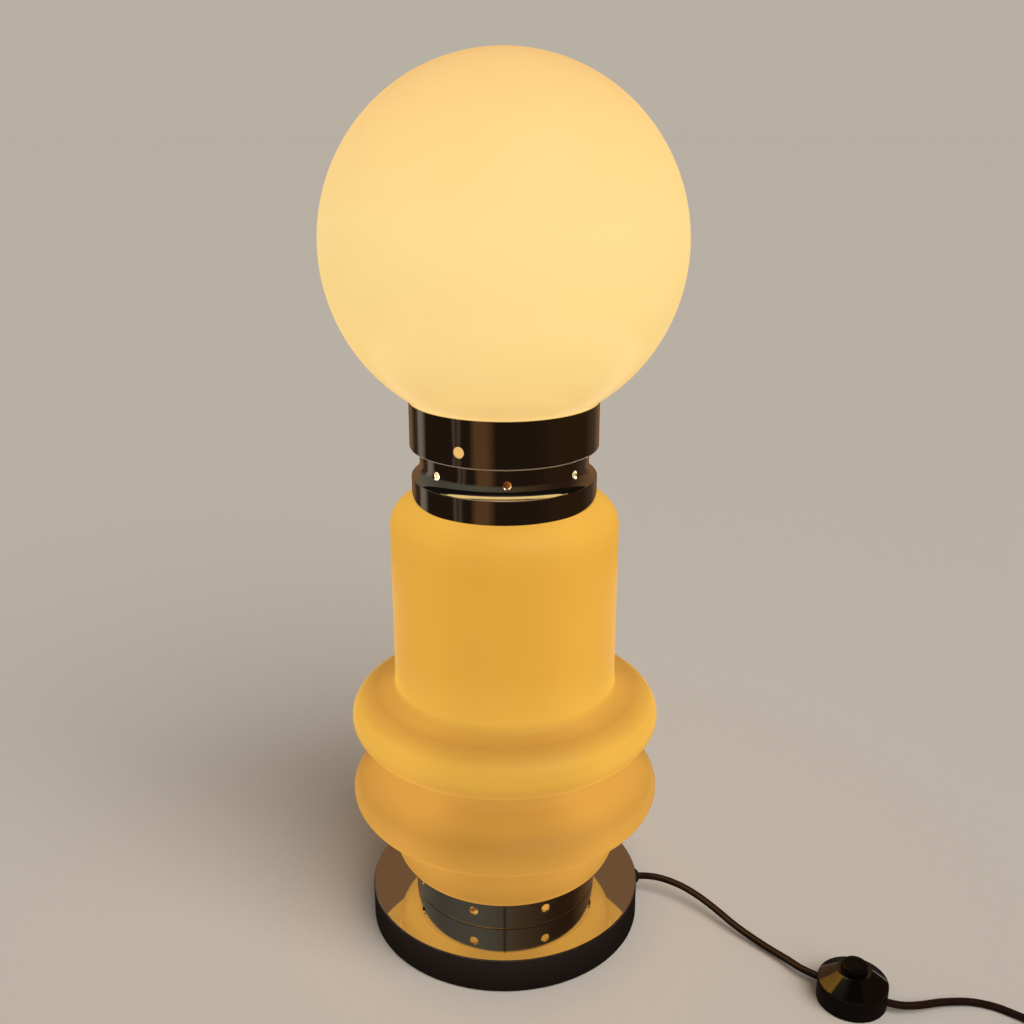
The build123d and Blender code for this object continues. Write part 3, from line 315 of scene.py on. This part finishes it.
def chrome_plate(name, waviness, low_roughness, high_roughness, seam=False):
    """Bright chrome on steel sheet: a mirror with slow dents from forming, fine buffing rings and a haze of
    handling. A rolled band also shows the butt seam where its ends meet, at the front."""
    material, tree, shader = new_finish(name, CHROME, low_roughness, {"Metallic": 1.0})
    place = add_node(tree, "TexCoord")
    # Buffing rings run round the axis as hairlines about 1 mm high
    squeeze = add_node(tree, "Mapping", values={"Scale": (8.0, 8.0, 1000.0)},
                       links={0: place.outputs["Object"]})
    rings = add_node(tree, "TexNoise", values={"Scale": 1.0, "Detail": 2.0},
                     links={0: squeeze.outputs[0]})
    # Haze comes in patches about 25 mm across
    haze = add_node(tree, "TexNoise", values={"Scale": 40.0, "Detail": 4.0},
                    links={0: place.outputs["Object"]})
    both = add_node(tree, "Math", {"operation": "MULTIPLY"},
                    links={0: rings.outputs[0], 1: haze.outputs[0]})
    rough = add_node(tree, "MapRange", values={
        "From Min": 0.12, "From Max": 0.45, "To Min": low_roughness, "To Max": high_roughness},
        links={0: both.outputs[0]})
    tree.links.new(rough.outputs[0], shader.inputs["Roughness"])
    # Dents of spun sheet are about 30 mm long and a few hundredths of a millimetre deep
    dents = add_node(tree, "TexNoise", values={"Scale": 33.0, "Detail": 1.0},
                     links={0: place.outputs["Object"]})
    bump = add_node(tree, "Bump", values={"Strength": waviness, "Distance": 0.001},
                    links={"Height": dents.outputs[0]})
    tree.links.new(bump.outputs[0], shader.inputs["Normal"])
    if seam:
        axes = add_node(tree, "SeparateXYZ", links={0: place.outputs["Object"]})
        aside = add_node(tree, "Math", {"operation": "ABSOLUTE"}, links={0: axes.outputs["X"]})
        clear = add_node(tree, "MapRange", values={"From Min": SEAM_CORE, "From Max": SEAM_EDGE},
                         links={0: aside.outputs[0]})
        rear = add_node(tree, "Math", {"operation": "GREATER_THAN"}, {1: 0.0}, {0: axes.outputs["Y"]})
        plain = add_node(tree, "Math", {"operation": "MAXIMUM"},
                         links={0: clear.outputs[0], 1: rear.outputs[0]})
        tint = add_node(tree, "ValToRGB", links={0: plain.outputs[0]},
                        stops=[(0.0, "#A8A59F"), (1.0, CHROME)])
        tree.links.new(tint.outputs[0], shader.inputs["Base Color"])
    return material


def grained(name, colour, dark, grain_m, roughness, bump_m, values=None):
    """Cast, moulded, felted or plated finish: two close shades in grains of a real size, in fine relief."""
    material, tree, shader = new_finish(name, colour, roughness, values)
    place = add_node(tree, "TexCoord")
    grain = add_node(tree, "TexNoise", values={"Scale": 1.0 / grain_m, "Detail": 4.0, "Roughness": 0.6},
                     links={0: place.outputs["Object"]})
    shades = add_node(tree, "ValToRGB", links={0: grain.outputs[0]}, stops=[(0.35, dark), (0.65, colour)])
    tree.links.new(shades.outputs[0], shader.inputs["Base Color"])
    rough = add_node(tree, "MapRange", values={
        "To Min": roughness * 0.8, "To Max": min(1.0, roughness * 1.25)}, links={0: grain.outputs[0]})
    tree.links.new(rough.outputs[0], shader.inputs["Roughness"])
    bump = add_node(tree, "Bump", values={"Strength": 0.5, "Distance": bump_m},
                    links={"Height": grain.outputs[0]})
    tree.links.new(bump.outputs[0], shader.inputs["Normal"])
    return material


def lit_lamp_glass():
    """Lamp bulb of soft glass, coated white inside: burns warm white, a little dimmer at its neck."""
    material, tree, shader = new_finish("coated_lamp_glass", "#A89878", 0.2, {"Emission Strength": 0.95})
    place = add_node(tree, "TexCoord")
    axes = add_node(tree, "SeparateXYZ", links={0: place.outputs["Object"]})
    height = add_node(tree, "MapRange", values={"From Min": BULB_NECK, "From Max": BULB_BELLY},
                      links={0: axes.outputs["Z"]})
    glow = add_node(tree, "ValToRGB", links={0: height.outputs[0]},
                    stops=[(0.0, "#E8B873"), (1.0, "#FFE3B0")])
    tree.links.new(glow.outputs[0], shader.inputs["Emission Color"])
    return material


def sleeved_pins():
    """Nickel-plated brass plug pins: bright ends, and dark moulded sleeves on the half next to the body."""
    material, tree, shader = new_finish("nickel_plated_brass", "#C9C4BA", 0.22)
    place = add_node(tree, "TexCoord")
    along = add_node(tree, "VectorMath", {"operation": "DOT_PRODUCT"},
                     {1: (cos(PLUG_TURN), sin(PLUG_TURN), 0.0)}, {0: place.outputs["Object"]})
    start = PLUG_X * cos(PLUG_TURN) + PLUG_Y * sin(PLUG_TURN) + PLUG_L
    bare = add_node(tree, "MapRange", values={
        "From Min": start + SLEEVE_L - SLEEVE_EDGE, "From Max": start + SLEEVE_L + SLEEVE_EDGE},
        links={0: along.outputs["Value"]})
    tint = add_node(tree, "ValToRGB", links={0: bare.outputs[0]},
                    stops=[(0.0, "#201512"), (1.0, "#C9C4BA")])
    tree.links.new(tint.outputs[0], shader.inputs["Base Color"])
    tree.links.new(bare.outputs[0], shader.inputs["Metallic"])
    # Scuffs from the socket, under a millimetre
    scuff = add_node(tree, "TexNoise", values={"Scale": 1500.0, "Detail": 3.0},
                     links={0: place.outputs["Object"]})
    rough = add_node(tree, "MapRange", values={"To Min": 0.15, "To Max": 0.40},
                     links={0: scuff.outputs[0]})
    tree.links.new(rough.outputs[0], shader.inputs["Roughness"])
    return material


def extruded_pvc():
    """Dark brown PVC cord sheath: smooth and glossy, with handling marks and a fine drawn texture."""
    material, tree, shader = new_finish(
        "brown_pvc_sheath", "#22130F", 0.26, {"Coat Weight": 0.6, "Coat Roughness": 0.04})
    place = add_node(tree, "TexCoord")
    # Marks about 8 mm long
    mark = add_node(tree, "TexNoise", values={"Scale": 120.0, "Detail": 4.0},
                    links={0: place.outputs["Object"]})
    tint = add_node(tree, "ValToRGB", links={0: mark.outputs[0]},
                    stops=[(0.3, "#1B0E0B"), (0.7, "#271712")])
    tree.links.new(tint.outputs[0], shader.inputs["Base Color"])
    rough = add_node(tree, "MapRange", values={"To Min": 0.22, "To Max": 0.40},
                     links={0: mark.outputs[0]})
    tree.links.new(rough.outputs[0], shader.inputs["Roughness"])
    # Texture under a millimetre
    fine = add_node(tree, "TexNoise", values={"Scale": 1200.0, "Detail": 2.0},
                    links={0: place.outputs["Object"]})
    bump = add_node(tree, "Bump", values={"Strength": 0.15, "Distance": 0.0002},
                    links={"Height": fine.outputs[0]})
    tree.links.new(bump.outputs[0], shader.inputs["Normal"])
    return material


def moulded_abs(name, colour, roughness, values):
    """Black ABS moulding: the polish or satin of its tool, with a trace of sink and fine scuffs."""
    material, tree, shader = new_finish(name, colour, roughness, values)
    place = add_node(tree, "TexCoord")
    # Scuffs about 3 mm long
    scuff = add_node(tree, "TexNoise", values={"Scale": 350.0, "Detail": 5.0},
                     links={0: place.outputs["Object"]})
    rough = add_node(tree, "MapRange", values={"To Min": roughness * 0.7, "To Max": roughness * 1.4},
                     links={0: scuff.outputs[0]})
    tree.links.new(rough.outputs[0], shader.inputs["Roughness"])
    # Sink over about 14 mm
    sink = add_node(tree, "TexNoise", values={"Scale": 70.0, "Detail": 1.0},
                    links={0: place.outputs["Object"]})
    bump = add_node(tree, "Bump", values={"Strength": 0.08, "Distance": 0.001},
                    links={"Height": sink.outputs[0]})
    tree.links.new(bump.outputs[0], shader.inputs["Normal"])
    return material


def coat(material, *names):
    """Give CAD nodes one finish."""
    for name in names:
        slots = nodes[name].data.materials
        slots.clear()
        slots.append(material)


def dress_nodes():
    """Finishes of the CAD nodes that stay. Grain and relief of a grained finish are in metres."""
    metal = {"Metallic": 1.0}
    coat(opal_globe(), "globe_glass")
    coat(opal_body(), "body_glass")
    coat(chrome_plate("chrome_on_spun_steel", 0.10, 0.03, 0.10), "globe_collar", "waist_ring")
    coat(chrome_plate("chrome_on_rolled_band", 0.06, 0.06, 0.16, seam=True), "vent_ring")
    coat(chrome_plate("chrome_on_flat_disc", 0.015, 0.02, 0.06), "base_shell")
    # Plain zinc plate: dull silver with a soft spangle
    zinc = grained("zinc_plated_steel", "#A9A69C", "#8E8B80", 0.004, 0.34, 0.00005, metal)
    coat(zinc, "stem_tube", "stem_nuts", "stem_washers", "cap_disc", "lamp_bracket", "plate_screws",
         "switch_screws")
    # Yellow-passivated zinc: brown gold, seen through the front hole of the waist
    yellow_zinc = grained("yellow_zinc_plated_steel", "#8A6038", "#6E4A2B", 0.004, 0.36, 0.00005, metal)
    coat(yellow_zinc, "spacer_tube")
    # Stoved paint: half-matt black
    coat(grained("black_painted_steel", "#242322", "#191817", 0.003, 0.45, 0.00005), "base_plate")
    # Sand-cast iron: rough dark grey
    coat(grained("grey_cast_iron", "#57565A", "#3E3D40", 0.0015, 0.65, 0.0003), "ballast_ring")
    # Pressed felt: matt fibres that catch a little light from the side
    felt = grained("green_wool_felt", "#2C3A2C", "#1C261D", 0.0008, 0.95, 0.0005, {"Sheen Weight": 0.4})
    coat(felt, "felt_pad")
    # Moulded rubber: matt black with a bloom
    rubber = grained("black_nitrile_rubber", "#232220", "#171615", 0.0012, 0.62, 0.0001)
    coat(rubber, "lower_gasket", "upper_gasket", "globe_seat", "cord_grommet")
    # Pressed urea: cream, half-gloss
    urea = grained("cream_urea_moulding", "#E2DBC8", "#D5CCB6", 0.006, 0.38, 0.00005)
    coat(urea, "body_lampholder_1", "body_lampholder_2", "body_lampholder_3")
    # Glazed ceramic: off-white under a clear gloss
    glaze = {"Coat Weight": 0.5}
    porcelain = grained("glazed_porcelain", "#EDEAE0", "#E2DDD0", 0.008, 0.12, 0.00005, glaze)
    coat(porcelain, "globe_holder_insert")
    # Rolled aluminium: bright, with fine rubbing marks
    cap_metal = grained("rolled_aluminium_cap", "#C6C3BC", "#AAA69D", 0.002, 0.30, 0.00008, metal)
    coat(cap_metal, "globe_lamp_cap", "body_lamp_cap_1", "body_lamp_cap_2", "body_lamp_cap_3")
    coat(lit_lamp_glass(), "globe_lamp_bulb", "body_lamp_bulb_1", "body_lamp_bulb_2", "body_lamp_bulb_3")
    # Extruded insulation: smooth off-white
    leads = grained("white_pvc_leads", "#D9D4C6", "#C9C2B2", 0.003, 0.45, 0.00005)
    coat(leads, "holder_leads", "riser_lead")
    # Moulded nylon: milky, half-matt
    nylon = grained("natural_nylon", "#DAD6C8", "#CBC5B4", 0.004, 0.42, 0.00005)
    coat(nylon, "terminal_block", "cord_clamp")
    # Polished cover that mirrors the lit glass, and a satin button that stays black
    polished = {"Specular IOR Level": 0.8, "Coat Weight": 1.0, "Coat Roughness": 0.05, "Coat IOR": 1.9}
    coat(moulded_abs("black_abs_gloss", "#070504", 0.14, polished), "switch_cover", "switch_base")
    coat(moulded_abs("black_abs_satin", "#0A0605", 0.30, {"Specular IOR Level": 0.35}), "switch_button")
    # Stamped brass: yellow, a little tarnished
    brass = grained("stamped_brass", "#C79F55", "#A9813E", 0.003, 0.30, 0.00005, metal)
    coat(brass, "switch_contact", "switch_terminals")
    coat(sleeved_pins(), "plug_pins")


def coil_place(x, y, z):
    """Point of the coil's own frame, put in its place."""
    return (COIL_X + x * cos(COIL_TURN) + y * sin(COIL_TURN),
            COIL_Y + x * sin(COIL_TURN) - y * cos(COIL_TURN), z)


def coil_route():
    """Spline points of the coil: half turns that spiral in on the floor, climb once and spiral out on top,
    then the bend to the plug. Points lie between the touching places of the turn, a little outside it."""
    middle = COIL_HALF_TURNS // 2
    step = pi / COIL_POINTS
    x = COIL_OUTER_R
    points = []
    for half in range(COIL_HALF_TURNS):
        side = 1 if half % 2 == 0 else -1
        radius = COIL_INNER_R + COIL_STEP * abs(half - middle)
        reach = radius / cos(step / 2)
        for i in range(COIL_POINTS):
            turn = (i + 0.5) * step
            rise = (1 - cos(turn)) / 2 if half == middle else float(half > middle)
            points.append(coil_place(x - side * (radius - reach * cos(turn)), side * reach * sin(turn),
                                     COIL_Z + rise * (COIL_TOP_Z - COIL_Z)))
        x -= side * 2 * radius
    step = TAIL_TURN / TAIL_POINTS
    reach = TAIL_R / cos(step / 2)
    for i in range(TAIL_POINTS):
        turn = (i + 0.5) * step
        points.append(coil_place(x - TAIL_R + reach * cos(turn), -reach * sin(turn), COIL_TOP_Z))
    points.append((PLUG_X, PLUG_Y, PLUG_Z))
    return points


def make_flex(name, route, finish, radii=None):
    """Cord along a smooth spline with the route's points as its control points."""
    line = bpy.data.curves.new(name, "CURVE")
    line.dimensions = "3D"
    line.bevel_depth = CORD_D / 2
    line.bevel_resolution = CORD_SIDES
    line.use_fill_caps = True
    line.resolution_u = CORD_STEPS
    spline = line.splines.new("NURBS")
    spline.points.add(len(route) - 1)
    for i, point in enumerate(route):
        spline.points[i].co = (*point, 1.0)
        spline.points[i].radius = radii[i] if radii else 1.0
    spline.order_u = 3
    spline.use_endpoint_u = True
    flex = bpy.data.objects.new(name, line)
    bpy.context.scene.collection.objects.link(flex)
    line.materials.append(finish)
    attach(flex, LAMP)
    return flex


def make_tie(finish):
    """Strap round the coil: a strip drawn along the bundle's outline, thickened and softened."""
    foot = TIE_NEAR + TIE_FOOT[0][0]
    lap = TIE_W / 2
    y = foot + lap
    z = TIE_T / 2
    bpy.ops.object.select_all(action="DESELECT")
    bpy.ops.mesh.primitive_plane_add(size=TIE_W, location=(0, foot + lap / 2, z))
    tie = bpy.context.object
    tie.name = "coil_strap"
    tie.scale = (1, lap / TIE_W, 1)
    bpy.ops.object.transform_apply(location=True, rotation=True, scale=True)
    bpy.ops.object.mode_set(mode="EDIT")
    bpy.ops.mesh.select_all(action="DESELECT")
    bpy.ops.object.mode_set(mode="OBJECT")
    vertices = tie.data.vertices
    for edge in tie.data.edges:
        if all(vertices[i].co.y > foot + lap / 2 for i in edge.vertices):
            edge.select = True
            for i in edge.vertices:
                vertices[i].select = True
    bpy.ops.object.mode_set(mode="EDIT")
    outline = [(TIE_FAR - inset, rise) for inset, rise in TIE_FOOT]
    outline += [(TIE_FAR - inset, TIE_TOP - drop) for inset, drop in TIE_SHOULDER]
    outline += [(TIE_NEAR + inset, TIE_TOP - drop) for inset, drop in reversed(TIE_SHOULDER)]
    outline += [(TIE_NEAR + inset, rise) for inset, rise in reversed(TIE_FOOT)]
    for next_y, next_z in outline:
        bpy.ops.mesh.extrude_edges_move(TRANSFORM_OT_translate={"value": (0, next_y - y, next_z - z)})
        y = next_y
        z = next_z
    bpy.ops.mesh.select_all(action="SELECT")
    bpy.ops.mesh.remove_doubles(threshold=TIE_T / 4)
    bpy.ops.mesh.normals_make_consistent(inside=False)
    bpy.ops.object.mode_set(mode="OBJECT")
    thick = tie.modifiers.new("thickness", "SOLIDIFY")
    thick.thickness = TIE_T
    thick.offset = 0.0
    bpy.ops.object.modifier_apply(modifier=thick.name)
    soft = tie.modifiers.new("soft_edges", "SUBSURF")
    soft.levels = 2
    soft.render_levels = 2
    bpy.ops.object.modifier_apply(modifier=soft.name)
    tie.location = (COIL_X, COIL_Y, 0)
    tie.rotation_euler = (0, 0, COIL_TURN)
    bpy.ops.object.transform_apply(location=True, rotation=True, scale=True)
    bpy.ops.object.shade_smooth()
    tie.data.materials.append(finish)
    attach(tie, LAMP)
    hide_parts("cord_tie")
    return tie


def wind(name, points, wire_r, radius, low, high, turns):
    """Ring of a few points drawn up into turns round the upright axis, with both ends closed."""
    bpy.ops.object.select_all(action="DESELECT")
    bpy.ops.mesh.primitive_circle_add(vertices=points, radius=wire_r, rotation=(pi / 2, pi / 2, 0),
                                      location=(radius, 0, low))
    piece = bpy.context.object
    piece.name = name
    bpy.ops.object.transform_apply(location=True, rotation=True, scale=True)
    screw = piece.modifiers.new("turns", "SCREW")
    screw.angle = 2 * pi
    screw.iterations = turns
    screw.screw_offset = (high - low) / turns
    screw.steps = WIND_STEPS
    screw.render_steps = WIND_STEPS
    bpy.ops.object.modifier_apply(modifier=screw.name)
    bpy.ops.object.mode_set(mode="EDIT")
    bpy.ops.mesh.select_all(action="SELECT")
    bpy.ops.mesh.remove_doubles(threshold=WIND_MERGE)
    bpy.ops.mesh.select_all(action="DESELECT")
    bpy.ops.mesh.select_non_manifold()
    bpy.ops.mesh.fill()
    bpy.ops.mesh.select_all(action="SELECT")
    bpy.ops.mesh.normals_make_consistent(inside=False)
    bpy.ops.object.mode_set(mode="OBJECT")
    bpy.ops.object.shade_smooth()
    return piece


def make_spring():
    """Return spring of the push button."""
    spring = wind("button_spring", SPRING_SIDES, SPRING_WIRE_R, SPRING_R, SPRING_LOW, SPRING_HIGH,
                  SPRING_TURNS)
    spring.location = (SWITCH_X, SWITCH_Y, 0)
    bpy.ops.object.transform_apply(location=True, rotation=True, scale=True)
    # Drawn steel wire: bright grey with fine draw marks
    spring.data.materials.append(
        grained("drawn_spring_steel", "#9A9892", "#7F7D78", 0.001, 0.28, 0.00003, {"Metallic": 1.0}))
    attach(spring, LAMP)
    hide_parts("switch_spring")
    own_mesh(spring)


def make_thread():
    """Outer thread of the upper lampholder, on the skirt that the lifted globe uncovers."""
    # Pressed phenolic: brown black, half-gloss
    phenolic = grained("phenolic_moulding", "#1B1613", "#110E0C", 0.0011, 0.32, 0.00003)
    coat(phenolic, "globe_lampholder")
    thread = wind("shade_ring_thread", THREAD_SIDES, THREAD_RIDGE, THREAD_R, THREAD_LOW, THREAD_HIGH,
                  THREAD_TURNS)
    thread.data.materials.append(phenolic)
    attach(thread, LAMP)


def make_cords():
    """Cord from the base to the switch, and from the switch through the coil to the plug."""
    sheath = extruded_pvc()
    coat(sheath, "inlet_lead")
    # Moulded PVC: the cord's brown, a little paler and softer
    gloss = {"Coat Weight": 0.2}
    moulding = grained("brown_pvc_moulding", "#2E1C17", "#251511", 0.002, 0.36, 0.00008, gloss)
    coat(moulding, "plug_body")
    # Woven strap: matt black pile
    pile = {"Sheen Weight": 0.1}
    weave = grained("black_hook_and_loop", "#191716", "#0E0D0C", 0.0007, 0.85, 0.0003, pile)
    strap = make_tie(weave)
    lamp_flex = make_flex("lamp_flex", LAMP_ROUTE, sheath)
    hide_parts("lamp_cord")
    coil = coil_route()
    mains_flex = make_flex("mains_flex", MAINS_ROUTE + coil, sheath)
    start = [(a + b) / 2 for a, b in zip(coil[-4], coil[-3])]
    boot = make_flex("plug_boot", [start] + coil[-3:], moulding, radii=BOOT_FLARE)
    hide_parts("plug_cord", "cord_coil")


def make_floor():
    """Plain pale studio floor."""
    bpy.ops.object.select_all(action="DESELECT")
    bpy.ops.mesh.primitive_plane_add(size=FLOOR_SIZE)
    floor = bpy.context.object
    floor.name = "studio_floor"
    # Matt paint with a faint grain of about 4 mm
    material, tree, shader = new_finish("matt_pale_floor", "#C9C3BB", 0.8, {"Specular IOR Level": 0.2})
    place = add_node(tree, "TexCoord")
    grain = add_node(tree, "TexNoise", values={"Scale": 250.0, "Detail": 3.0},
                     links={0: place.outputs["Object"]})
    tint = add_node(tree, "ValToRGB", links={0: grain.outputs[0]},
                    stops=[(0.3, "#C7C1B9"), (0.7, "#CAC4BC")])
    tree.links.new(tint.outputs[0], shader.inputs["Base Color"])
    floor.data.materials.append(material)


def card_finish(card, name):
    """Glow for a card of the set that only gloss and chrome see; gives back its tree and its shine."""
    material = bpy.data.materials.new(name)
    material.use_nodes = True
    material.cycles.emission_sampling = "NONE"
    tree = material.node_tree
    tree.nodes.remove(tree.nodes["Principled BSDF"])
    shine = add_node(tree, "Emission", values={"Strength": 1.0})
    tree.links.new(shine.outputs[0], tree.nodes["Material Output"].inputs["Surface"])
    card.data.materials.append(material)
    card.visible_camera = False
    card.visible_diffuse = False
    card.visible_transmission = False
    card.visible_shadow = False
    return tree, shine


def make_wall():
    """Upright cards round the set, dark with brown and grey ones among them, softer and paler above."""
    bpy.ops.object.select_all(action="DESELECT")
    bpy.ops.mesh.primitive_cylinder_add(vertices=CARD_SIDES, radius=WALL_R, depth=WALL_H,
                                        end_fill_type="NOTHING", location=(0, 0, WALL_Z))
    wall = bpy.context.object
    wall.name = "reflector_wall"
    bpy.ops.object.transform_apply(location=True, rotation=True, scale=True)
    tree, shine = card_finish(wall, "dark_and_brown_cards")
    place = add_node(tree, "TexCoord")
    axes = add_node(tree, "SeparateXYZ", links={0: place.outputs["Object"]})
    ahead = add_node(tree, "Math", {"operation": "MULTIPLY"}, {1: -1.0}, {0: axes.outputs["Y"]})
    angle = add_node(tree, "Math", {"operation": "ARCTAN2"},
                     links={0: axes.outputs["X"], 1: ahead.outputs[0]})
    # From straight behind, by the left and the front, round to behind again
    share = add_node(tree, "MapRange", values={"From Min": -pi, "From Max": pi},
                     links={0: angle.outputs[0]})
    low_cards = add_node(tree, "ValToRGB", links={0: share.outputs[0]}, stops=[
        (0.000, "#735438"), (0.100, "#735438"), (0.130, "#33271E"), (0.155, "#33271E"), (0.170, "#74675A"),
        (0.190, "#74675A"), (0.215, "#20160E"), (0.325, "#20160E"), (0.335, "#4E4034"), (0.345, "#2A1E15"),
        (0.353, "#4A3B2F"), (0.365, "#20160E"), (0.390, "#20160E"), (0.410, "#553A22"), (0.445, "#553A22"),
        (0.475, "#20160E"), (0.600, "#20160E"), (0.680, "#2B1B0E"), (0.800, "#2B1B0E"), (0.870, "#43352A"),
        (0.910, "#735438")])
    high_cards = add_node(tree, "ValToRGB", links={0: share.outputs[0]}, stops=[
        (0.100, "#735438"), (0.140, "#5F574A"), (0.250, "#49443B"), (0.420, "#514C40"), (0.550, "#463624"),
        (0.680, "#2E1E13"), (0.760, "#2E1C11"), (0.910, "#735438")])
    height = add_node(tree, "MapRange", values={"From Min": LOW_CARDS_TOP, "From Max": HIGH_CARDS_FOOT},
                      links={0: axes.outputs["Z"]})
    cards = add_node(tree, "Mix", {"data_type": "RGBA"},
                     links={0: height.outputs[0], 6: low_cards.outputs[0], 7: high_cards.outputs[0]})
    tree.links.new(cards.outputs[2], shine.inputs["Color"])


def make_round_card(name, finish, inner_r, radius, z, stops):
    """Level round card whose tone changes from an inner radius out to its edge."""
    bpy.ops.object.select_all(action="DESELECT")
    bpy.ops.mesh.primitive_circle_add(vertices=CARD_SIDES, radius=radius, fill_type="NGON",
                                      location=(0, 0, z))
    card = bpy.context.object
    card.name = name
    bpy.ops.object.transform_apply(location=True, rotation=True, scale=True)
    tree, shine = card_finish(card, finish)
    place = add_node(tree, "TexCoord")
    axes = add_node(tree, "SeparateXYZ", links={0: place.outputs["Object"]})
    flat = add_node(tree, "CombineXYZ", links={"X": axes.outputs["X"], "Y": axes.outputs["Y"]})
    away = add_node(tree, "VectorMath", {"operation": "LENGTH"}, links={0: flat.outputs[0]})
    share = add_node(tree, "MapRange", values={"From Min": inner_r, "From Max": radius},
                     links={0: away.outputs["Value"]})
    tone = add_node(tree, "ValToRGB", links={0: share.outputs[0]}, stops=stops)
    tree.links.new(tone.outputs[0], shine.inputs["Color"])


def make_surround():
    """Cards that stand in for a dark room: a wall of them, a dark mat at the lamp's foot, darkest next to
    the base as painted shadow of the lamp on the floor and seen only in reflections, and one overhead.
    """
    make_wall()
    # The mat is darkest next to the base: painted shadow of the lamp on the floor, seen only in the chrome
    make_round_card("reflector_mat", "dark_mat_with_painted_shadow", BASE_R, MAT_R, MAT_Z, [
        (0.0, "#1B1512"), (0.10, "#2B231E"), (0.70, "#2B231E"), (1.0, "#8A8178")])
    make_round_card("reflector_lid", "dark_top_card", 0.0, LID_R, LID_Z, [
        (0.10, "#6B655F"), (0.40, "#14100D")])


def make_light():
    """Soft studio light: an even sky, palest at the horizon, and a broad key light from the upper right."""
    world = bpy.data.worlds.new("studio_sky")
    bpy.context.scene.world = world
    world.use_nodes = True
    tree = world.node_tree
    place = add_node(tree, "TexCoord")
    axes = add_node(tree, "SeparateXYZ", links={0: place.outputs["Generated"]})
    sky = add_node(tree, "ValToRGB", links={0: axes.outputs["Z"]}, stops=[
        (0.00, "#B9B0A4"), (0.09, "#B9B0A4"), (0.30, "#7F7A75"), (1.00, "#86817C")])
    tree.links.new(sky.outputs[0], tree.nodes["Background"].inputs["Color"])
    tree.nodes["Background"].inputs["Strength"].default_value = 1.0
    lamp = bpy.data.lights.new("key_light", "SUN")
    lamp.energy = KEY_ENERGY
    lamp.angle = KEY_SPREAD
    lamp.color = KEY_COLOUR
    key = bpy.data.objects.new("key_light", lamp)
    key.rotation_euler = KEY_TURN
    key.visible_glossy = False
    bpy.context.scene.collection.objects.link(key)
    # Light that comes up from the lamps of the body into the hollow waist
    for turn in SPILL_TURNS:
        spill = bpy.data.lights.new("lamp_spill", "POINT")
        spill.energy = SPILL_ENERGY
        spill.shadow_soft_size = SPILL_SIZE
        spill.color = SPILL_COLOUR
        glow = bpy.data.objects.new("lamp_spill", spill)
        glow.location = (SPILL_R * cos(radians(turn)), SPILL_R * sin(radians(turn)), SPILL_Z)
        bpy.context.scene.collection.objects.link(glow)


def make_camera():
    """Camera at the photograph's place and angle."""
    lens = bpy.data.cameras.new("photo_camera")
    lens.sensor_width = CAMERA_SENSOR
    lens.lens = CAMERA_LENS
    camera = bpy.data.objects.new("photo_camera", lens)
    camera.location = CAMERA_PLACE
    camera.rotation_euler = (pi / 2 - CAMERA_DOWN, 0, 0)
    bpy.context.scene.collection.objects.link(camera)
    bpy.context.scene.camera = camera


make_camera()
make_cords()
make_spring()
make_thread()
dress_nodes()
make_floor()
make_surround()
make_light()
bpy.context.scene.view_settings.view_transform = "Standard"
